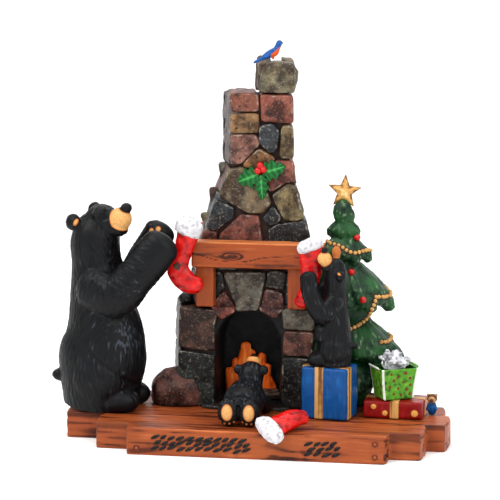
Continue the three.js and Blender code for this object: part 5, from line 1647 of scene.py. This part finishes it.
def holly():
    low, high, _ = TIERS["shoulder"]
    share = 40 / 43
    face_y = low[3] + share * (high[3] - low[3]) - 1.0
    root = np.array([-0.6, face_y, LINTEL_TOP + 40.2])
    slope = (high[3] - low[3]) / (high[0] - low[0])
    leaves, seam = [], []
    for turn, length, wide in ((112, 13.4, 6.2), (-74, 13.4, 6.0), (184, 14.2, 4.4)):
        rows, columns = 40, 17
        t = np.linspace(0, 1, rows)
        spikes = 0.62 + 0.38 * np.abs(np.cos(math.pi * t * 3.5)) ** 1.6
        half = wide * np.clip(np.sin(math.pi * t**0.85), 0, 1) ** 0.75 * spikes + 0.12
        s = np.linspace(-1, 1, columns)
        x = s[None] * half[:, None] + 0 * t[:, None]
        y = 0.8 + t[:, None] * length - 0.9 * (np.abs(s)[None] ** 2) * (half / wide)[:, None] + 0 * s[None]
        height = 1.7 + 0.9 * (1 - np.abs(s)[None]) * np.sin(math.pi * t)[:,
            None] - 0.5 * np.exp(-((s / 0.14) ** 2))[None] * np.ones((rows, 1))
        veins = 0.22 * np.sin((t[:, None] * 9 - np.abs(s)[None] * 1.6) * math.pi)
        height = height + veins - 1.2 * t[:, None] ** 3
        a = math.radians(turn)
        gx, gz = -math.sin(a) * y + math.cos(a) * x, math.cos(a) * y + math.sin(a) * x
        top = np.stack([gx, -height, gz], -1).reshape(-1, 3)
        bottom = np.stack([gx, np.full_like(gx, 2.6), gz], -1).reshape(-1, 3)
        v = np.vstack([top, bottom]) + root
        v[:, 1] += slope * (v[:, 2] - root[2])
        faces = grid_faces(rows, columns, closed=False)
        n = rows * columns
        faces += [[i + n for i in face[::-1]] for face in grid_faces(rows, columns, closed=False)]
        rim = [i for i in range(columns)] + [r * columns + columns - 1 for r in range(1, rows)]
        rim += [(rows - 1) * columns + c for c in range(columns - 2, -1,
            -1)] + [r * columns for r in range(rows - 2, 0, -1)]
        faces += [[rim[i], rim[(i + 1) % len(rim)], rim[(i + 1) % len(rim)] + n,
            rim[i] + n] for i in range(len(rim))]
        leaves.append((v, faces))
        rib = np.broadcast_to(1.4 * np.exp(-((s / 0.16) ** 2))[None], (rows, columns)).ravel()
        seam.append(np.concatenate([rib + 0.9 * veins.ravel(), np.full(n, -1.5)]))
    v, f = joined(leaves)
    piece("holly_leaves", v, f, "leaf_green", "fireplace", relief=np.concatenate(seam) - 0.3)
    berries = [ellipsoid(root + [x, -1.6, z], (2.0, 2.0, 2.0), around=22, down=16) for x,
        z in ((-1.6, 1.2), (1.4, 2.0), (-0.3, 4.2))]
    v, f = joined(berries)
    piece("holly_berries", v, f, "red_gloss", "fireplace", relief=0.5 * noise(v, 1.4))


holly()

# Dark strokes on the front board, which spell nothing


def strokes_on_board():
    rng = np.random.default_rng(21)
    shells = []
    for left, right in ((-49.6, 5.0), (34.4, 53.4)):
        y = DECK_FRONT - 0.45
        for row, (z, tall) in enumerate(((10.3, 1.0), (7.4, 1.05), (4.5, 1.0))):
            x = left + (1.6 if row % 2 else 0)
            while x < right - 2:
                wide = min(rng.uniform(2.4, 4.6), right - x)
                rise = rng.uniform(-0.5, 0.5)
                shells.append(limb([
                    [x, y, z - 0.9 + rise, tall * 0.55, 0.5], [x + wide * 0.45, y, z + rise, tall, 0.7],
                    [x + wide, y, z + 0.9 + rise, tall * 0.5, 0.5],
                ], domes=(0.8, 0.8), sides=10, rings=4))
                x += wide + rng.uniform(0.7, 1.3)
    v, f = joined(shells)
    piece("board_strokes", v, f, "black_strokes", "base", relief=noise(v, 1.4))


strokes_on_board()

# Camera, light and floor


def studio():
    azimuth, elevation, distance = math.radians(10), math.radians(9), DISTANCE / 1000
    back = Vector((
        math.sin(azimuth) * math.cos(elevation), -math.cos(azimuth) * math.cos(elevation), math.sin(elevation),
    ))
    target = Vector((AIM + SHIFT) / 1000)
    camera = bpy.data.objects.new("camera", bpy.data.cameras.new("camera"))
    camera.location = target + back * distance
    camera.rotation_euler = (-back).to_track_quat("-Z", "Y").to_euler()
    camera.data.sensor_width = 36
    camera.data.lens = 36 * DISTANCE / (PICTURE * PIXEL)
    bpy.context.scene.collection.objects.link(camera)
    bpy.context.scene.camera = camera

    profile = [(-3.0, 0), (1.2, 0)]
    profile += [(1.2 + 0.6 * math.sin(t), 0.6 - 0.6 * math.cos(t)) for t in np.linspace(0, math.pi / 2, 14)[1:]]
    profile.append((1.8, 2.6))
    rows = [[(x, y, z) for x in (-3.0, 3.0)] for y, z in profile]
    mesh = bpy.data.meshes.new("floor")
    mesh.from_pydata([p for row in rows for p in row], [], grid_faces(len(rows), 2, closed=False))
    mesh.shade_smooth()
    pale = Paint("pale_floor", 0.9)
    mesh.materials.append(pale.finish((0.95, 0.95, 0.95)))
    floor = bpy.data.objects.new("floor", mesh)
    bpy.context.scene.collection.objects.link(floor)

    for name, place, size, power in (
        ("key", (-0.9, -1.0, 1.5), 1.1, 26), ("fill", (1.1, -1.0, 1.0), 1.2, 13), ("top", (0.1, 0.2, 1.8), 1.4, 16),
    ):
        light = bpy.data.lights.new(name, "AREA")
        light.size = size
        light.energy = power
        lamp = bpy.data.objects.new(name, light)
        lamp.location = place
        lamp.rotation_euler = (Vector((0, 0, 0.1)) - lamp.location).to_track_quat("-Z", "Y").to_euler()
        bpy.context.scene.collection.objects.link(lamp)
    world = bpy.data.worlds.new("studio")
    world.use_nodes = True
    world.node_tree.nodes["Background"].inputs["Color"].default_value = (1, 1, 1, 1)
    world.node_tree.nodes["Background"].inputs["Strength"].default_value = 0.75
    bpy.context.scene.world = world
    bpy.context.scene.view_settings.view_transform = "Standard"


studio()
